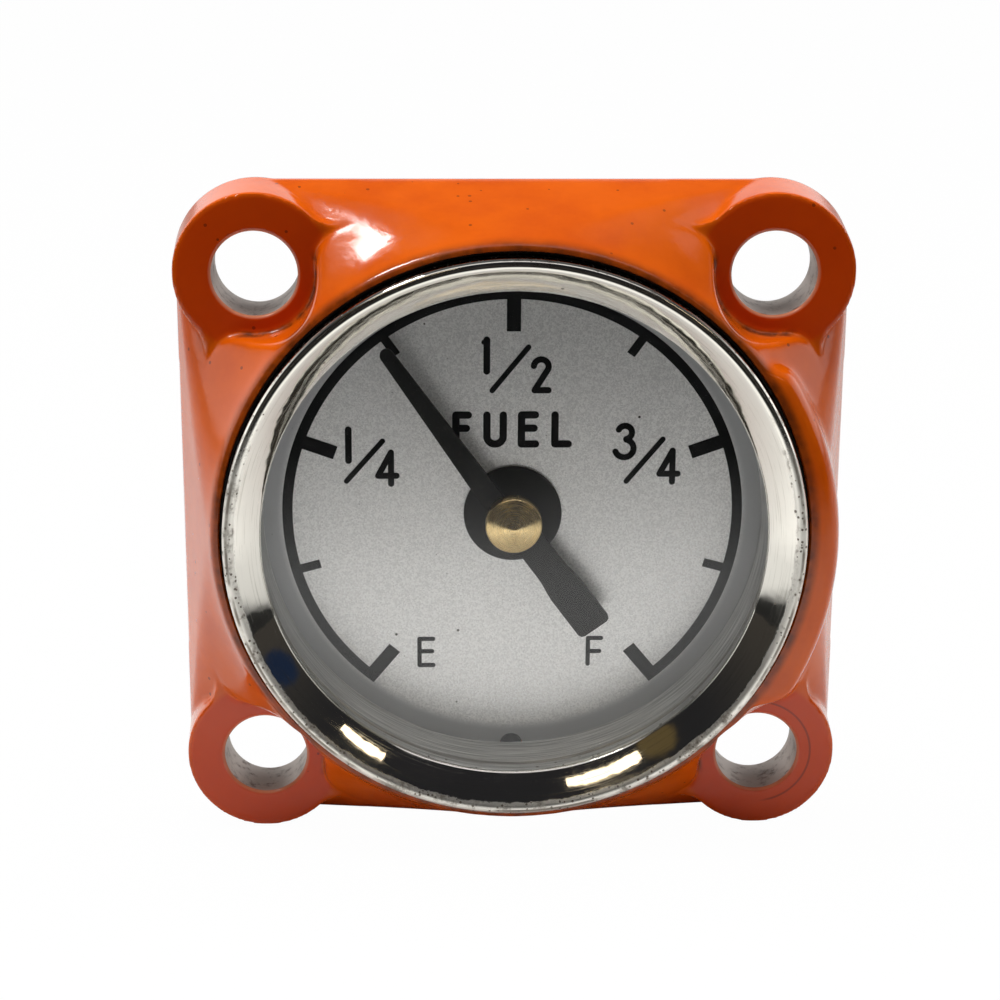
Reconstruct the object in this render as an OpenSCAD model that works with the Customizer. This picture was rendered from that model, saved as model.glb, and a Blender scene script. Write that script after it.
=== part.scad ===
// Direct-reading fuel gauge for a tank: a square four-bolt flange casting with a round dial
// in front, and behind it a float arm whose bevel gears turn a magnet. That magnet turns a
// second one on the pointer's spindle through the closed wall of the casting.
//
// The pieces are drawn as seen by someone reading the dial: x to the right, y towards
// 12 o'clock, z towards the reader, from the centre of the mounting face. The module
// upright() then stands them up, so that the finished dial looks along -Y with +Z up.

/* [Flange casting] */
// Distance between neighbouring bolt hole centres
bolt_spacing = 50.8; // [48:0.1:56]
// Diameter of each bolt hole
bolt_hole_d = 8.46; // [6:0.02:9]
// Thickness of the four ears
ear_thickness = 6.35; // [5:0.05:7]
// Radius of an ear at its front face
ear_r = 8.0; // [7:0.1:9]
// How much wider an ear is at the mounting face, for draft
ear_draft = 0.3; // [0.2:0.05:0.8]
// Radius of the hollow corner between an ear and its straight side
ear_fillet_r = 4.0; // [2:0.5:6]
// Radius of the round pocket that clears a bolt head
pocket_r = 6.2; // [5.5:0.1:6.6]
// Wall between such a pocket and the round recess for the bezel
pocket_wall = 0.67; // [0.5:0.01:2]
// Distance of each neck's tip from its bolt hole, along the side
neck_tip_back = 8.1; // [7:0.1:9]
// How far each neck's tip stands outside the round rim
neck_tip_stand = 0.3; // [0:0.1:1]
// Height of the casting from the mounting face to the rim
body_height = 12.7; // [12:0.1:14]
// Height of the straight edge at the mounting face
base_edge = 0.6; // [0.2:0.1:2]
// How fast the square corners give way to the round rim
corner_blend = 1.6; // [1:0.1:3]
// Wall of the round rim outside the bezel
rim_wall = 0.95; // [0.8:0.05:2]
// Height and width of the small bevel on the rim
rim_bevel = 0.5; // [0.2:0.1:0.7]
// How far the pad on the right side stands out from the rim
pad_reach = 2.0; // [1:0.1:2.4]
// Half of the angle that the pad covers
pad_half_angle = 37; // [25:1:38]
// How much further the pad stands out at its foot
pad_draft = 0.9; // [0.5:0.1:1.2]
// Height of the pad's foot above the mounting face
pad_foot = 2.0; // [1:0.1:4]
// Bevel along the pad's outer top edge
pad_bevel = 1.1; // [0.5:0.1:1.8]
// Radius of the spigot that enters the tank opening
spigot_r = 18.4; // [17.5:0.1:19]
// Length of the spigot behind the mounting face
spigot_length = 8.0; // [7:0.1:10]

/* [Bezel and lens] */
// Gap between the bezel and the rim, filled by the seal
bezel_gap = 0.37; // [0.3:0.01:0.6]
// Width of the bezel from its outside to the window
bezel_w = 3.68; // [3:0.02:4.5]
// Thickness of the bezel's sheet
bezel_sheet = 0.75; // [0.5:0.05:0.9]
// Height of the bezel's crest above the lens
bezel_crest = 3.05; // [2.6:0.05:3.4]
// Radius of the bezel's crest
bezel_crest_r = 0.6; // [0.3:0.05:0.7]
// Thickness of the lens
lens_t = 1.8; // [1.5:0.1:2.2]
// Bevel round both edges of the lens
lens_bevel = 0.3; // [0.1:0.05:0.5]
// Width of the shoulder that the seal rests on
seal_shoulder = 1.85; // [1.6:0.05:2]
// Depth of that shoulder below the rim
seal_seat_depth = 4.3; // [3.8:0.1:4.6]
// Thickness of the seal's flat part
seal_t = 2.0; // [1.5:0.1:2.2]
// How far the seal's thin lip stays below the rim's bevel
seal_lip_drop = 0.2; // [0.1:0.05:0.5]

/* [Dial] */
// Depth of the dial's seat below the rim
dial_seat_depth = 9.92; // [9:0.02:11]
// Thickness of the dial plate
dial_t = 0.5; // [0.3:0.05:0.8]
// Radial thickness of the spacer ring round the dial
spacer_wall = 1.4; // [1:0.05:2]
// Height of the spacer ring
spacer_h = 6.22; // [6:0.02:6.6]
// Depth of the groove round the inside of the spacer ring
spacer_groove = 0.3; // [0.1:0.05:0.5]
// Distance of that groove below the lens
groove_drop = 1.9; // [1:0.1:3]
// Bare edge of the dial between the spacer ring and the printed arc
arc_margin = 2.3; // [1:0.05:4]
// Width of the printed arc
arc_w = 1.03; // [0.8:0.01:1.4]
// Half of the scale's sweep, from 12 o'clock to either end
scale_half_sweep = 140.6; // [120:0.1:145]
// Width of a long tick
long_tick_w = 1.4; // [1:0.05:1.8]
// Width of a short tick
short_tick_w = 0.9; // [0.6:0.05:1.2]
// Reach of a long tick inside the arc
long_tick = 3.3; // [2:0.1:4]
// Reach of a short tick inside the arc
short_tick = 2.0; // [1:0.1:3]
// Thickness of the printed ink
ink_t = 0.06; // [0.05:0.01:0.1]
// Radius of the black disc in the middle of the dial
hub_disc_r = 4.96; // [4:0.02:5.5]
// Thickness of the black disc
hub_disc_t = 0.47; // [0.3:0.01:0.6]
// Radius of the black disc's shank, which goes through the dial
hub_shank_r = 2.2; // [1.5:0.1:3]
// How far that shank reaches behind the dial
hub_shank_reach = 0.6; // [0.3:0.1:0.8]
// Radius of the pin that locates the dial at 6 o'clock
dial_pin_r = 1.1; // [0.9:0.05:1.1]
// How far inside the spacer ring's bore that pin is centred
dial_pin_inset = 0.2; // [0:0.05:0.5]

/* [Pointer] */
// Angle at which the pointer rests, left of 12 o'clock
pointer_rest = 35.6; // [0:0.1:90]
// Gap between the pointer's tip and the printed arc
tip_gap = 0.27; // [0:0.01:2]
// Reach of the pointer's tail from its axis
tail_reach = 14.35; // [10:0.05:16]
// Half of the pointer's width at the tip
tip_half_w = 0.68; // [0.3:0.02:0.9]
// Left edge of the head where it leaves the cap
head_left = 1.55; // [1:0.05:2]
// Right edge of the head where it leaves the cap
head_right = 0.72; // [0.6:0.02:2]
// Half of the tail's width next to the black disc
waist_half_w = 1.55; // [1:0.05:1.8]
// Half of the tail's width at its end
tail_half_w = 1.85; // [1.5:0.05:2.4]
// Length of the tail's wide end
tail_flare = 5.85; // [4:0.05:8]
// Size of the cut corners of the tail
tail_corner = 0.5; // [0.2:0.05:0.8]
// Thickness of the pointer's sheet
pointer_t = 0.5; // [0.3:0.05:0.6]
// Height of the pointer's upper face above the dial
pointer_lift = 2.82; // [2.4:0.02:3.2]
// Radius of the brass cap
cap_r = 2.835; // [2.2:0.005:3.2]
// Height of the cap's straight side
cap_side = 1.49; // [1:0.01:1.6]
// Height of the cap's cone
cap_cone = 1.32; // [0.8:0.01:1.4]
// Radius of the small flat on top of the cone
cap_tip_r = 0.12; // [0.05:0.01:0.3]
// Radius of the pointer's spindle
spindle_r = 0.6; // [0.5:0.05:0.7]
// Radius of the collar below the pointer
collar_r = 1.4; // [1:0.1:2]
// Radius of the jewel that the spindle stands in
jewel_r = 1.25; // [1:0.05:1.6]
// Thickness of that jewel
jewel_t = 1.1; // [0.9:0.05:1.2]

/* [Magnetic drive] */
// Radius of both magnets
magnet_r = 5.5; // [4.5:0.1:6]
// Thickness of both magnets
magnet_t = 2.4; // [1.8:0.1:2.5]
// Thickness of the closed wall between the magnets
drive_wall = 1.6; // [1.3:0.1:1.8]
// Depth of the magnet well's floor behind the mounting face
well_depth = 1.6; // [1.5:0.1:2]
// Free space round and between the turning magnets
magnet_gap = 0.7; // [0.4:0.05:0.8]
// Wall of the cup that carries the rear magnet
cup_wall = 0.8; // [0.5:0.05:1]
// Height of the cup's rim over its floor's back
cup_lip = 1.8; // [1.2:0.1:2.4]
// Radius of the cup's short hub
cup_hub_r = 2.6; // [2.2:0.1:3]
// Room round the cup in the back of the casting
cup_room = 2.3; // [1:0.1:4]
// Radius of the drive shaft
shaft_r = 1.5; // [1.2:0.1:1.8]
// How far the shaft stands out of the pinion
shaft_stand = 0.5; // [0.2:0.1:1]

/* [Gears] */
// Teeth on the pinion
pinion_teeth = 16; // [14:1:18]
// Teeth on the full circle of the sector gear
gear_teeth = 48; // [42:1:54]
// Module of the teeth at their outer ends
gear_module = 0.57; // [0.5:0.01:0.6]
// Length of the teeth
tooth_length = 3.8; // [3:0.1:4.2]
// Play between the teeth at their outer ends
backlash = 0.12; // [0.08:0.01:0.16]
// Angle beyond the working teeth at each end of the sector
sector_margin = 14.3; // [12:0.1:16]
// How far the sector's rim stands outside the teeth
gear_rim = 0.7; // [0.5:0.1:1]
// Thickness of the sector's web and rim
web_t = 2.9; // [2:0.1:3.2]
// Radius of the sector gear's hub
gear_hub_r = 4.2; // [3.5:0.1:4.4]
// Radius of the flanges where the gear meets the arm
flange_r = 7.2; // [7:0.1:7.6]
// Distance from the middle to where the gear meets the arm
joint_x = 1.5; // [1.3:0.1:1.7]

/* [Bracket] */
// Thickness of the bracket's plate and arms
bracket_t = 2.0; // [1.5:0.1:2.4]
// Distance from the middle to the inner face of each bracket arm
bracket_inner = 8.2; // [8:0.1:8.8]
// Half of the width of a bracket arm
bracket_half_w = 12.4; // [11.8:0.1:13]
// How far the bracket arms reach behind the pivot
bracket_end = 7.4; // [6:0.1:9]
// Radius of the rounding on the arms' rear corners, about the pivot
bracket_round_r = 14; // [13:0.1:15]
// How much smaller the bracket's plate is than the spigot
plate_inset = 0.2; // [0.1:0.1:1]
// Radius of the boss that holds the shaft bush
boss_r = 4.2; // [3.5:0.1:5]
// Length of that boss
boss_length = 2.4; // [2:0.1:3]
// Radius of the shaft bush
bush_r = 2.6; // [2.2:0.1:3]
// How far the bush stands out of the boss
bush_stand = 0.4; // [0.2:0.1:0.8]
// Radius of the thrust washer
thrust_r = 3.2; // [2.4:0.1:3.6]
// Thickness of the thrust washer
thrust_t = 0.4; // [0.3:0.1:0.8]
// Radius of the two bracket screws
screw_r = 1.42; // [1.2:0.01:1.6]
// Radius of their heads
screw_head_r = 2.5; // [2:0.1:3]
// Height of their heads
screw_head_t = 1.8; // [1.2:0.1:2.2]
// Distance of the screws from the middle
screw_at = 14.6; // [14:0.1:15]
// Depth of their holes in the spigot
screw_depth = 4.6; // [4:0.1:5.5]
// Width of the slots in all the screws
slot_w = 0.6; // [0.4:0.05:0.8]
// Radius of the pivot pin
pivot_r = 2.0; // [1.5:0.1:2.2]
// Radius of the pivot pin's head
pin_head_r = 3.1; // [2.6:0.1:3.6]
// Thickness of the pivot pin's head
pin_head_t = 1.0; // [0.8:0.1:1.4]
// How far the pin stands out at its plain end
pin_tail = 1.6; // [1.2:0.1:2.4]
// Radius of the clip that keeps the pin in
clip_r = 3.2; // [2.8:0.1:4]
// Thickness of the clip
clip_t = 0.6; // [0.4:0.1:1]
// Depth of the groove for the clip
clip_groove = 0.4; // [0.2:0.1:0.6]
// Radius of the washers beside the arm
pivot_washer_r = 4.0; // [3:0.1:5]
// Thickness of the washers beside the arm
pivot_washer_t = 0.6; // [0.4:0.1:1]
// Radius of the pins that stop the sector
stop_r = 1.0; // [0.8:0.1:1.2]
// Distance of the stop pins from the pivot
stop_at = 11.2; // [10.4:0.1:12]
// Angle left between a stop pin and the sector at the end of its travel
stop_play = 0.5; // [0.2:0.1:2]

/* [Float arm] */
// Radius of the arm's hub
arm_hub_r = 4.5; // [4:0.1:5]
// Thickness of the arm's flange
arm_flange_t = 2.6; // [2.4:0.1:3]
// Outer radius of the rod socket
socket_r = 3.2; // [2.8:0.1:3.3]
// Distance of the socket's side from the end of the hub
socket_inset = 0.1; // [0:0.1:0.4]
// Radius of the rod socket's bore
rod_bore_r = 1.62; // [1.3:0.01:1.8]
// Depth of the rod socket's bore
rod_bore_depth = 13.0; // [10:0.5:14]
// Distance from the pivot to the socket's mouth
socket_reach = 20.0; // [18:0.5:26]
// Radius of the set screw that grips the float rod
set_screw_r = 1.4; // [1:0.1:1.4]
// Distance of the set screw from the socket's mouth
set_screw_back = 5.0; // [3:0.1:8]
// How far the set screw stands out of the socket
set_screw_stand = 1.6; // [0.5:0.1:3]
// Radius of the rivets through both flanges
rivet_r = 0.8; // [0.6:0.05:1]
// Radius of the rivets' heads
rivet_head_r = 1.25; // [1:0.05:1.3]
// Thickness of the rivets' heads
rivet_head_t = 0.5; // [0.3:0.1:0.6]
// Number of rivets
rivet_count = 3; // [3:1:6]

/* [Fits] */
// Running clearance on the radius of turning shafts
running = 0.05; // [0.02:0.01:0.09]
// Clearance on the radius of parts dropped into the recess
drop_in = 0.2; // [0.1:0.05:0.3]
// Clearance of the seal against the metal beside it
seal_clear = 0.03; // [0.02:0.01:0.05]
// Play along a shaft or beside a turning piece
end_play = 0.1; // [0.05:0.01:0.15]
// Free gap beside a piece that turns close to another
turning_gap = 0.3; // [0.2:0.05:0.4]
// Space left in front of a screw or a spindle in its blind hole
blind_gap = 0.3; // [0.2:0.05:0.5]

/* [Hidden] */
$fn = 96;
// Overrun of every cutting tool
over = 1;

// Casting, whose recess is as large as the bolt pockets allow
hole_r = bolt_hole_d / 2;
hole_at = bolt_spacing / 2;
ear_base_r = ear_r + ear_draft;
corner_r = ear_r + ear_draft / 2;
base_half = hole_at + corner_r;
recess_r = hole_at * sqrt(2) - pocket_r - pocket_wall;
rim_r = recess_r + rim_wall;
rim_h = body_height;
neck_tip = [-neck_tip_back, rim_r + neck_tip_stand - hole_at];
corner_points = 13;
ring_count = 7;

// Stack in front of the mounting face
bezel_r = recess_r - bezel_gap;
bezel_window_r = bezel_r - bezel_w;
seat_bore_r = recess_r - seal_shoulder;
fitted_r = seat_bore_r - drop_in;
dial_seat_h = rim_h - dial_seat_depth;
dial_face_h = dial_seat_h + dial_t;
lens_back_h = dial_face_h + spacer_h;
lens_front_h = lens_back_h + lens_t;
crest_h = lens_front_h + bezel_crest;
seal_seat_h = rim_h - seal_seat_depth;
seal_top_h = seal_seat_h + seal_t;
spacer_inner_r = fitted_r - spacer_wall;
arc_outer_r = spacer_inner_r - arc_margin;
arc_inner_r = arc_outer_r - arc_w;
dial_pin_at = spacer_inner_r - dial_pin_inset;
dial_pin_h = dial_seat_h - 2 * dial_pin_r;
pointer_reach = arc_inner_r - tip_gap;
pointer_top_h = dial_face_h + pointer_lift;

// Magnetic drive, from the well to the pinion
well_r = magnet_r + magnet_gap;
driven_back_z = -well_depth + magnet_gap - end_play;
jewel_back_z = -well_depth - jewel_t;
spindle_tip_z = jewel_back_z + jewel_t / 2;
wall_back_z = -well_depth - drive_wall;
drive_front_z = wall_back_z - magnet_gap;
drive_back_z = drive_front_z - magnet_t;
cup_back_z = drive_back_z - cup_wall;
cup_r = magnet_r + cup_wall;
rear_recess_r = cup_r + cup_room;
plate_front_z = -spigot_length;
plate_back_z = plate_front_z - bracket_t;
plate_r = spigot_r - plate_inset;
boss_back_z = plate_back_z - boss_length;
bush_front_z = cup_back_z - turning_gap - end_play;
bush_back_z = boss_back_z - bush_stand;
thrust_back_z = bush_back_z - end_play - thrust_t;
pinion_front_z = thrust_back_z - turning_gap;

// Bevel gears with crossed axes that meet at the pivot
pressure_angle = 20;
pinion_pitch_r = gear_module * pinion_teeth / 2;
gear_pitch_r = gear_module * gear_teeth / 2;
cone_length = sqrt(pow(pinion_pitch_r, 2) + pow(gear_pitch_r, 2));
pinion_cone = atan(pinion_pitch_r / gear_pitch_r);
inner_scale = (cone_length - tooth_length) / cone_length;
pinion_w = gear_pitch_r * (1 - inner_scale);
pinion_addendum = gear_module;
gear_addendum = 0.85 * gear_module;
dedendum = 1.25 * gear_module;
tooth_sink = gear_module / 2;
pinion_tip_r = gear_pitch_r * tan(pinion_cone + atan(pinion_addendum / cone_length));
pinion_root_r = gear_pitch_r * tan(pinion_cone - atan(dedendum / cone_length));
pinion_base_r = pinion_pitch_r * cos(pressure_angle);
pivot_z = pinion_front_z - gear_pitch_r;
gear_ratio = gear_teeth / pinion_teeth;
shaft_back_z = pinion_front_z - pinion_w - shaft_stand;
shaft_front_z = drive_front_z - end_play;

// Travel, counted from the resting pointer
travel_down = (scale_half_sweep - pointer_rest) / gear_ratio;
travel_up = (scale_half_sweep + pointer_rest) / gear_ratio;
arm_rest = pointer_rest / gear_ratio;
sector_low = -travel_up - sector_margin;
sector_high = travel_down + sector_margin;
gear_pitch_angle = 360 / gear_teeth;
stop_angle = sector_high + travel_up + asin(stop_r / stop_at) + stop_play;

// Sector gear and float arm hub along the pivot
root_slope = tan(pinion_cone + atan(dedendum / cone_length));
gear_rim_r = gear_pitch_r + gear_rim;
gear_back_x = bracket_inner - pivot_washer_t - 2 * end_play;
hub_back_x = -gear_back_x;
socket_x = hub_back_x + socket_r + socket_inset;
arm_flange_x = joint_x - arm_flange_t;
rivet_at = (arm_hub_r + flange_r) / 2;
set_screw_at = socket_reach - set_screw_back;
bracket_outer = bracket_inner + bracket_t;

function arc_points(centre, r, from, to, count) = [
    for (i = [0 : count]) let (a = from + (to - from) * i / count)
        centre + r * [cos(a), sin(a)]
];

function flat(list) = [for (group = list) for (p = group) p];

// Stands a piece drawn in the reader's view up in the finished frame
module upright() {
    rotate([90, 0, 0]) children();
}

// Frame of the pivot: x towards the pinion, z along the pivot to the right
module at_pivot() {
    upright() translate([0, 0, pivot_z]) rotate([180, 0, 0]) rotate([0, 90, 0]) children();
}

// Turns what is drawn for the upper right corner into the other corners
module at_corners() {
    for (x = [0, 1], y = [0, 1]) mirror([x, 0, 0]) mirror([0, y, 0])
        translate([hole_at, hole_at, 0]) children();
}

// A cylinder from one height to another
module post(r, from, to) {
    translate([0, 0, from]) cylinder(r = r, h = to - from);
}

// Casting body: a rounded square at the mounting face that turns into the round rim

function body_share(i) = i / (ring_count - 1);
function body_half(i) = base_half + (rim_r - base_half) * body_share(i);
function body_corner(i) = rim_r - (rim_r - corner_r) * pow(1 - body_share(i), corner_blend);
function body_z(i) = base_edge + (rim_h - rim_bevel - base_edge) * body_share(i);

function ring_points(half, corner, z) = [
    for (q = [0 : 3]) for (i = [0 : corner_points - 1])
        let (a = 90 * q + 90 * i / (corner_points - 1), s = max(half - corner, 0.01),
             side = [[1, 1], [-1, 1], [-1, -1], [1, -1]][q])
        [side[0] * s + corner * cos(a), side[1] * s + corner * sin(a), z]
];

body_rings = concat(
    [ring_points(base_half, corner_r, 0)],
    [for (i = [0 : ring_count - 1]) ring_points(body_half(i), body_corner(i), body_z(i))],
    [ring_points(rim_r - rim_bevel, rim_r - rim_bevel, rim_h)]
);

module body_loft() {
    n = 4 * corner_points;
    last = len(body_rings) - 1;
    walls = [for (k = [0 : last - 1]) for (i = [0 : n - 1]) let (j = (i + 1) % n)
        each [[k * n + i, (k + 1) * n + i, k * n + j],
              [k * n + j, (k + 1) * n + i, (k + 1) * n + j]]];
    bottom = [[for (i = [0 : n - 1]) i]];
    top = [[for (i = [0 : n - 1]) last * n + n - 1 - i]];
    polyhedron(points = flat(body_rings), faces = concat(walls, bottom, top), convexity = 4);
}

// One ear with the two hollow corners beside it, drawn about its bolt hole
module ear() {
    fillet_y = neck_tip[1] + ear_fillet_r;
    fillet_x = -sqrt(pow(ear_r + ear_fillet_r, 2) - pow(fillet_y, 2));
    cylinder(r1 = ear_base_r, r2 = ear_r, h = ear_thickness);
    for (swap = [0, 1]) mirror([swap, -swap, 0]) difference() {
        linear_extrude(ear_thickness) polygon([[0, 0], [fillet_x, fillet_y], [fillet_x, 0]]);
        translate([fillet_x, fillet_y, 0]) post(ear_fillet_r, -over, ear_thickness + over);
    }
}

// Pocket above an ear, open to the outside, drawn about its bolt hole
module pocket() {
    tip = neck_tip;
    tangent = atan2(tip[1], tip[0]) + acos(pocket_r / norm(tip));
    touch = pocket_r * [cos(tangent), sin(tangent)];
    far = 2 * ear_base_r;
    post(pocket_r, ear_thickness, 2 * rim_h);
    translate([0, 0, ear_thickness]) linear_extrude(2 * rim_h) polygon([
        [0, 0], touch, tip, [tip[0], far], [far, far], [far, tip[0]],
        [tip[1], tip[0]], [touch[1], touch[0]]
    ]);
}

module rim_pad() {
    outer = rim_r + pad_reach;
    top = rim_h - rim_bevel / 4;
    rotate([0, 0, -pad_half_angle]) rotate_extrude(angle = 2 * pad_half_angle) polygon([
        [recess_r - over, pad_foot], [outer + pad_draft, pad_foot],
        [outer, top - pad_bevel], [outer - pad_bevel, top], [recess_r - over, top]
    ]);
}

module flange_casting() {
    color([0.86, 0.32, 0.08]) upright() difference() {
        union() {
            body_loft();
            at_corners() ear();
            rim_pad();
            post(spigot_r, -spigot_length, over);
        }
        at_corners() {
            pocket();
            post(hole_r, -over, ear_thickness + over);
        }
        post(recess_r, seal_seat_h, 2 * rim_h);
        post(seat_bore_r, dial_seat_h, 2 * rim_h);
        post(well_r, -well_depth, 2 * rim_h);
        post(jewel_r, jewel_back_z, 2 * rim_h);
        post(rear_recess_r, -spigot_length - over, wall_back_z);
        for (side = [-1, 1]) translate([0, side * screw_at, 0])
            post(screw_r, -spigot_length - over, screw_depth - spigot_length);
        translate([0, -dial_pin_at, 0]) post(dial_pin_r, dial_pin_h, 2 * rim_h);
    }
}

// Dial, spacer, lens, seal and bezel, stacked in the recess

module bezel_seal() {
    inner = fitted_r + seal_clear;
    outer = recess_r - seal_clear;
    lip_inner = bezel_r + seal_clear;
    lip_top = rim_h - rim_bevel - seal_lip_drop;
    color([0.05, 0.05, 0.05]) upright() rotate_extrude() polygon([
        [inner, seal_seat_h], [outer, seal_seat_h], [outer, lip_top],
        [lip_inner, lip_top], [lip_inner, seal_top_h], [inner, seal_top_h]
    ]);
}

module bezel_ring() {
    crest_centre = [bezel_r - bezel_crest_r, crest_h - bezel_crest_r];
    lip_r = bezel_sheet / 2;
    lip_centre = [bezel_window_r + lip_r, lens_front_h + lip_r];
    slope = atan2(crest_centre[1] - lip_centre[1], crest_centre[0] - lip_centre[0]);
    inner_side = bezel_r - bezel_sheet;
    under = lip_centre + lip_r * [sin(slope), -cos(slope)];
    color([0.85, 0.85, 0.83]) upright() rotate_extrude() polygon(concat(
        [[inner_side, seal_top_h], [bezel_r, seal_top_h]],
        arc_points(crest_centre, bezel_crest_r, 0, 90 + slope, 8),
        arc_points(lip_centre, lip_r, 90 + slope, 270 + slope, 8),
        [under + (inner_side - under[0]) * [1, tan(slope)]]
    ));
}

module lens() {
    color([0.8, 0.9, 0.9, 0.35]) upright() rotate_extrude() polygon([
        [0, lens_back_h], [fitted_r - lens_bevel, lens_back_h],
        [fitted_r, lens_back_h + lens_bevel], [fitted_r, lens_front_h - lens_bevel],
        [fitted_r - lens_bevel, lens_front_h], [0, lens_front_h]
    ]);
}

module spacer_ring() {
    groove_h = lens_back_h - groove_drop;
    color([0.6, 0.6, 0.58]) upright() rotate_extrude() polygon([
        [spacer_inner_r, dial_face_h], [fitted_r, dial_face_h], [fitted_r, lens_back_h],
        [spacer_inner_r, lens_back_h], [spacer_inner_r, groove_h + 2 * spacer_groove],
        [spacer_inner_r + spacer_groove, groove_h + spacer_groove], [spacer_inner_r, groove_h]
    ]);
}

module dial_plate() {
    color([0.72, 0.72, 0.7]) upright() difference() {
        post(fitted_r, dial_seat_h, dial_face_h);
        post(hub_shank_r, dial_seat_h - over, dial_face_h + over);
        translate([0, -dial_pin_at, 0])
            post(dial_pin_r + running, dial_seat_h - over, dial_face_h + over);
    }
}

module tick(angle, w, reach) {
    rotate([0, 0, angle]) translate([-w / 2, arc_inner_r - reach]) square([w, reach + arc_w / 2]);
}

module dial_scale() {
    end_angle = scale_half_sweep + asin(long_tick_w / 2 / arc_outer_r);
    below = arc_points([0, 0], 2 * arc_outer_r, 90 + end_angle, 450 - end_angle, 2);
    color([0.06, 0.06, 0.06]) upright() translate([0, 0, dial_face_h]) linear_extrude(ink_t) {
        difference() {
            circle(r = arc_outer_r);
            circle(r = arc_inner_r);
            polygon(concat([[0, 0]], below));
        }
        for (i = [0 : 4]) tick(scale_half_sweep * (i / 2 - 1), long_tick_w, long_tick);
        for (i = [0 : 3]) tick(scale_half_sweep * (i / 2 - 0.75), short_tick_w, short_tick);
    }
}

module dial_bush() {
    color([0.07, 0.07, 0.07]) upright() difference() {
        union() {
            post(hub_disc_r, dial_face_h, dial_face_h + hub_disc_t);
            post(hub_shank_r, dial_seat_h - hub_shank_reach, dial_face_h + hub_disc_t / 2);
        }
        post(spindle_r + running, 0, rim_h);
    }
}

module dial_pin() {
    color([0.12, 0.12, 0.12]) upright() translate([0, -dial_pin_at, 0])
        post(dial_pin_r, dial_pin_h, dial_face_h - running);
}

module spindle_jewel() {
    color([0.75, 0.6, 0.3]) upright() difference() {
        post(jewel_r, jewel_back_z, -well_depth);
        post(spindle_r + running, spindle_tip_z - 2 * end_play, rim_h);
    }
}

// Pointer and what turns with it

module pointer_outline() {
    flare_end = tail_reach - tail_flare;
    beside_cap = cap_r + 0.2;
    difference() {
        union() {
            translate([0, pointer_reach - tip_half_w]) circle(r = tip_half_w);
            polygon([
                [-tip_half_w, pointer_reach - tip_half_w], [-head_left, beside_cap],
                [-waist_half_w, -beside_cap], [-waist_half_w, 2 - flare_end],
                [-tail_half_w, -flare_end - 1], [-tail_half_w, tail_corner - tail_reach],
                [tail_corner - tail_half_w, -tail_reach], [tail_half_w - tail_corner, -tail_reach],
                [tail_half_w, tail_corner - tail_reach], [tail_half_w, -flare_end - 1],
                [waist_half_w, 2 - flare_end], [waist_half_w, -beside_cap],
                [head_right, beside_cap], [tip_half_w, pointer_reach - tip_half_w]
            ]);
            circle(r = cap_r - turning_gap);
        }
        circle(r = spindle_r);
    }
}

module pointer() {
    color([0.08, 0.08, 0.08]) upright() translate([0, 0, pointer_top_h - pointer_t])
        rotate([0, 0, pointer_rest]) linear_extrude(pointer_t) pointer_outline();
}

module pointer_cap() {
    rim = pointer_top_h + cap_side;
    color([0.8, 0.66, 0.38]) upright() rotate_extrude() polygon([
        [spindle_r, pointer_top_h], [cap_r, pointer_top_h], [cap_r, rim],
        [cap_tip_r, rim + cap_cone], [0, rim + cap_cone], [0, rim - end_play], [spindle_r, rim - end_play]
    ]);
}

module pointer_collar() {
    bottom = dial_face_h + hub_disc_t + turning_gap;
    color([0.5, 0.5, 0.5]) upright() difference() {
        post(collar_r, bottom, pointer_top_h - pointer_t);
        post(spindle_r, 0, rim_h);
    }
}

module pointer_spindle() {
    color([0.7, 0.7, 0.72]) upright() post(spindle_r, spindle_tip_z, pointer_top_h + cap_side - end_play);
}

module driven_magnet() {
    color([0.25, 0.25, 0.27]) upright() difference() {
        post(magnet_r, driven_back_z, driven_back_z + magnet_t);
        post(spindle_r, driven_back_z - over, driven_back_z + magnet_t + over);
    }
}

// Rear shaft with its magnet and pinion

module drive_shaft() {
    color([0.7, 0.7, 0.72]) upright() post(shaft_r, shaft_back_z, shaft_front_z);
}

module drive_magnet() {
    color([0.25, 0.25, 0.27]) upright() difference() {
        post(magnet_r, drive_back_z, drive_front_z);
        post(shaft_r, drive_back_z - over, drive_front_z + over);
    }
}

module magnet_cup() {
    hub_back_z = bush_front_z + end_play;
    color([0.78, 0.64, 0.36]) upright() rotate_extrude() polygon([
        [shaft_r, hub_back_z], [cup_hub_r, hub_back_z], [cup_hub_r, cup_back_z],
        [cup_r, cup_back_z], [cup_r, cup_back_z + cup_lip], [magnet_r, cup_back_z + cup_lip],
        [magnet_r, drive_back_z], [shaft_r, drive_back_z]
    ]);
}

// Tooth flanks of the pinion, as half angles of a tooth at a few radii

function involute(a) = tan(a) * 180 / PI - a;
function flank_angle(r) = 90 / pinion_teeth - backlash / 4 / pinion_pitch_r * 180 / PI
    + involute(pressure_angle) - involute(acos(min(1, pinion_base_r / r)));

pinion_flank = [for (share = [0, 0.25, 0.5, 0.75, 1])
    let (r = pinion_base_r + (pinion_tip_r - pinion_base_r) * share) [r, flank_angle(r)]];

half_tooth = concat([[pinion_root_r, pinion_flank[0][1]]], pinion_flank);

pinion_outline = [for (k = [0 : pinion_teeth - 1]) let (middle = 360 / pinion_teeth * (k + 0.5))
    each concat(
        [for (p = half_tooth) p[0] * [cos(middle - p[1]), sin(middle - p[1])]],
        [for (i = [len(half_tooth) - 1 : -1 : 0]) let (p = half_tooth[i])
            p[0] * [cos(middle + p[1]), sin(middle + p[1])]]
    )];

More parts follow.
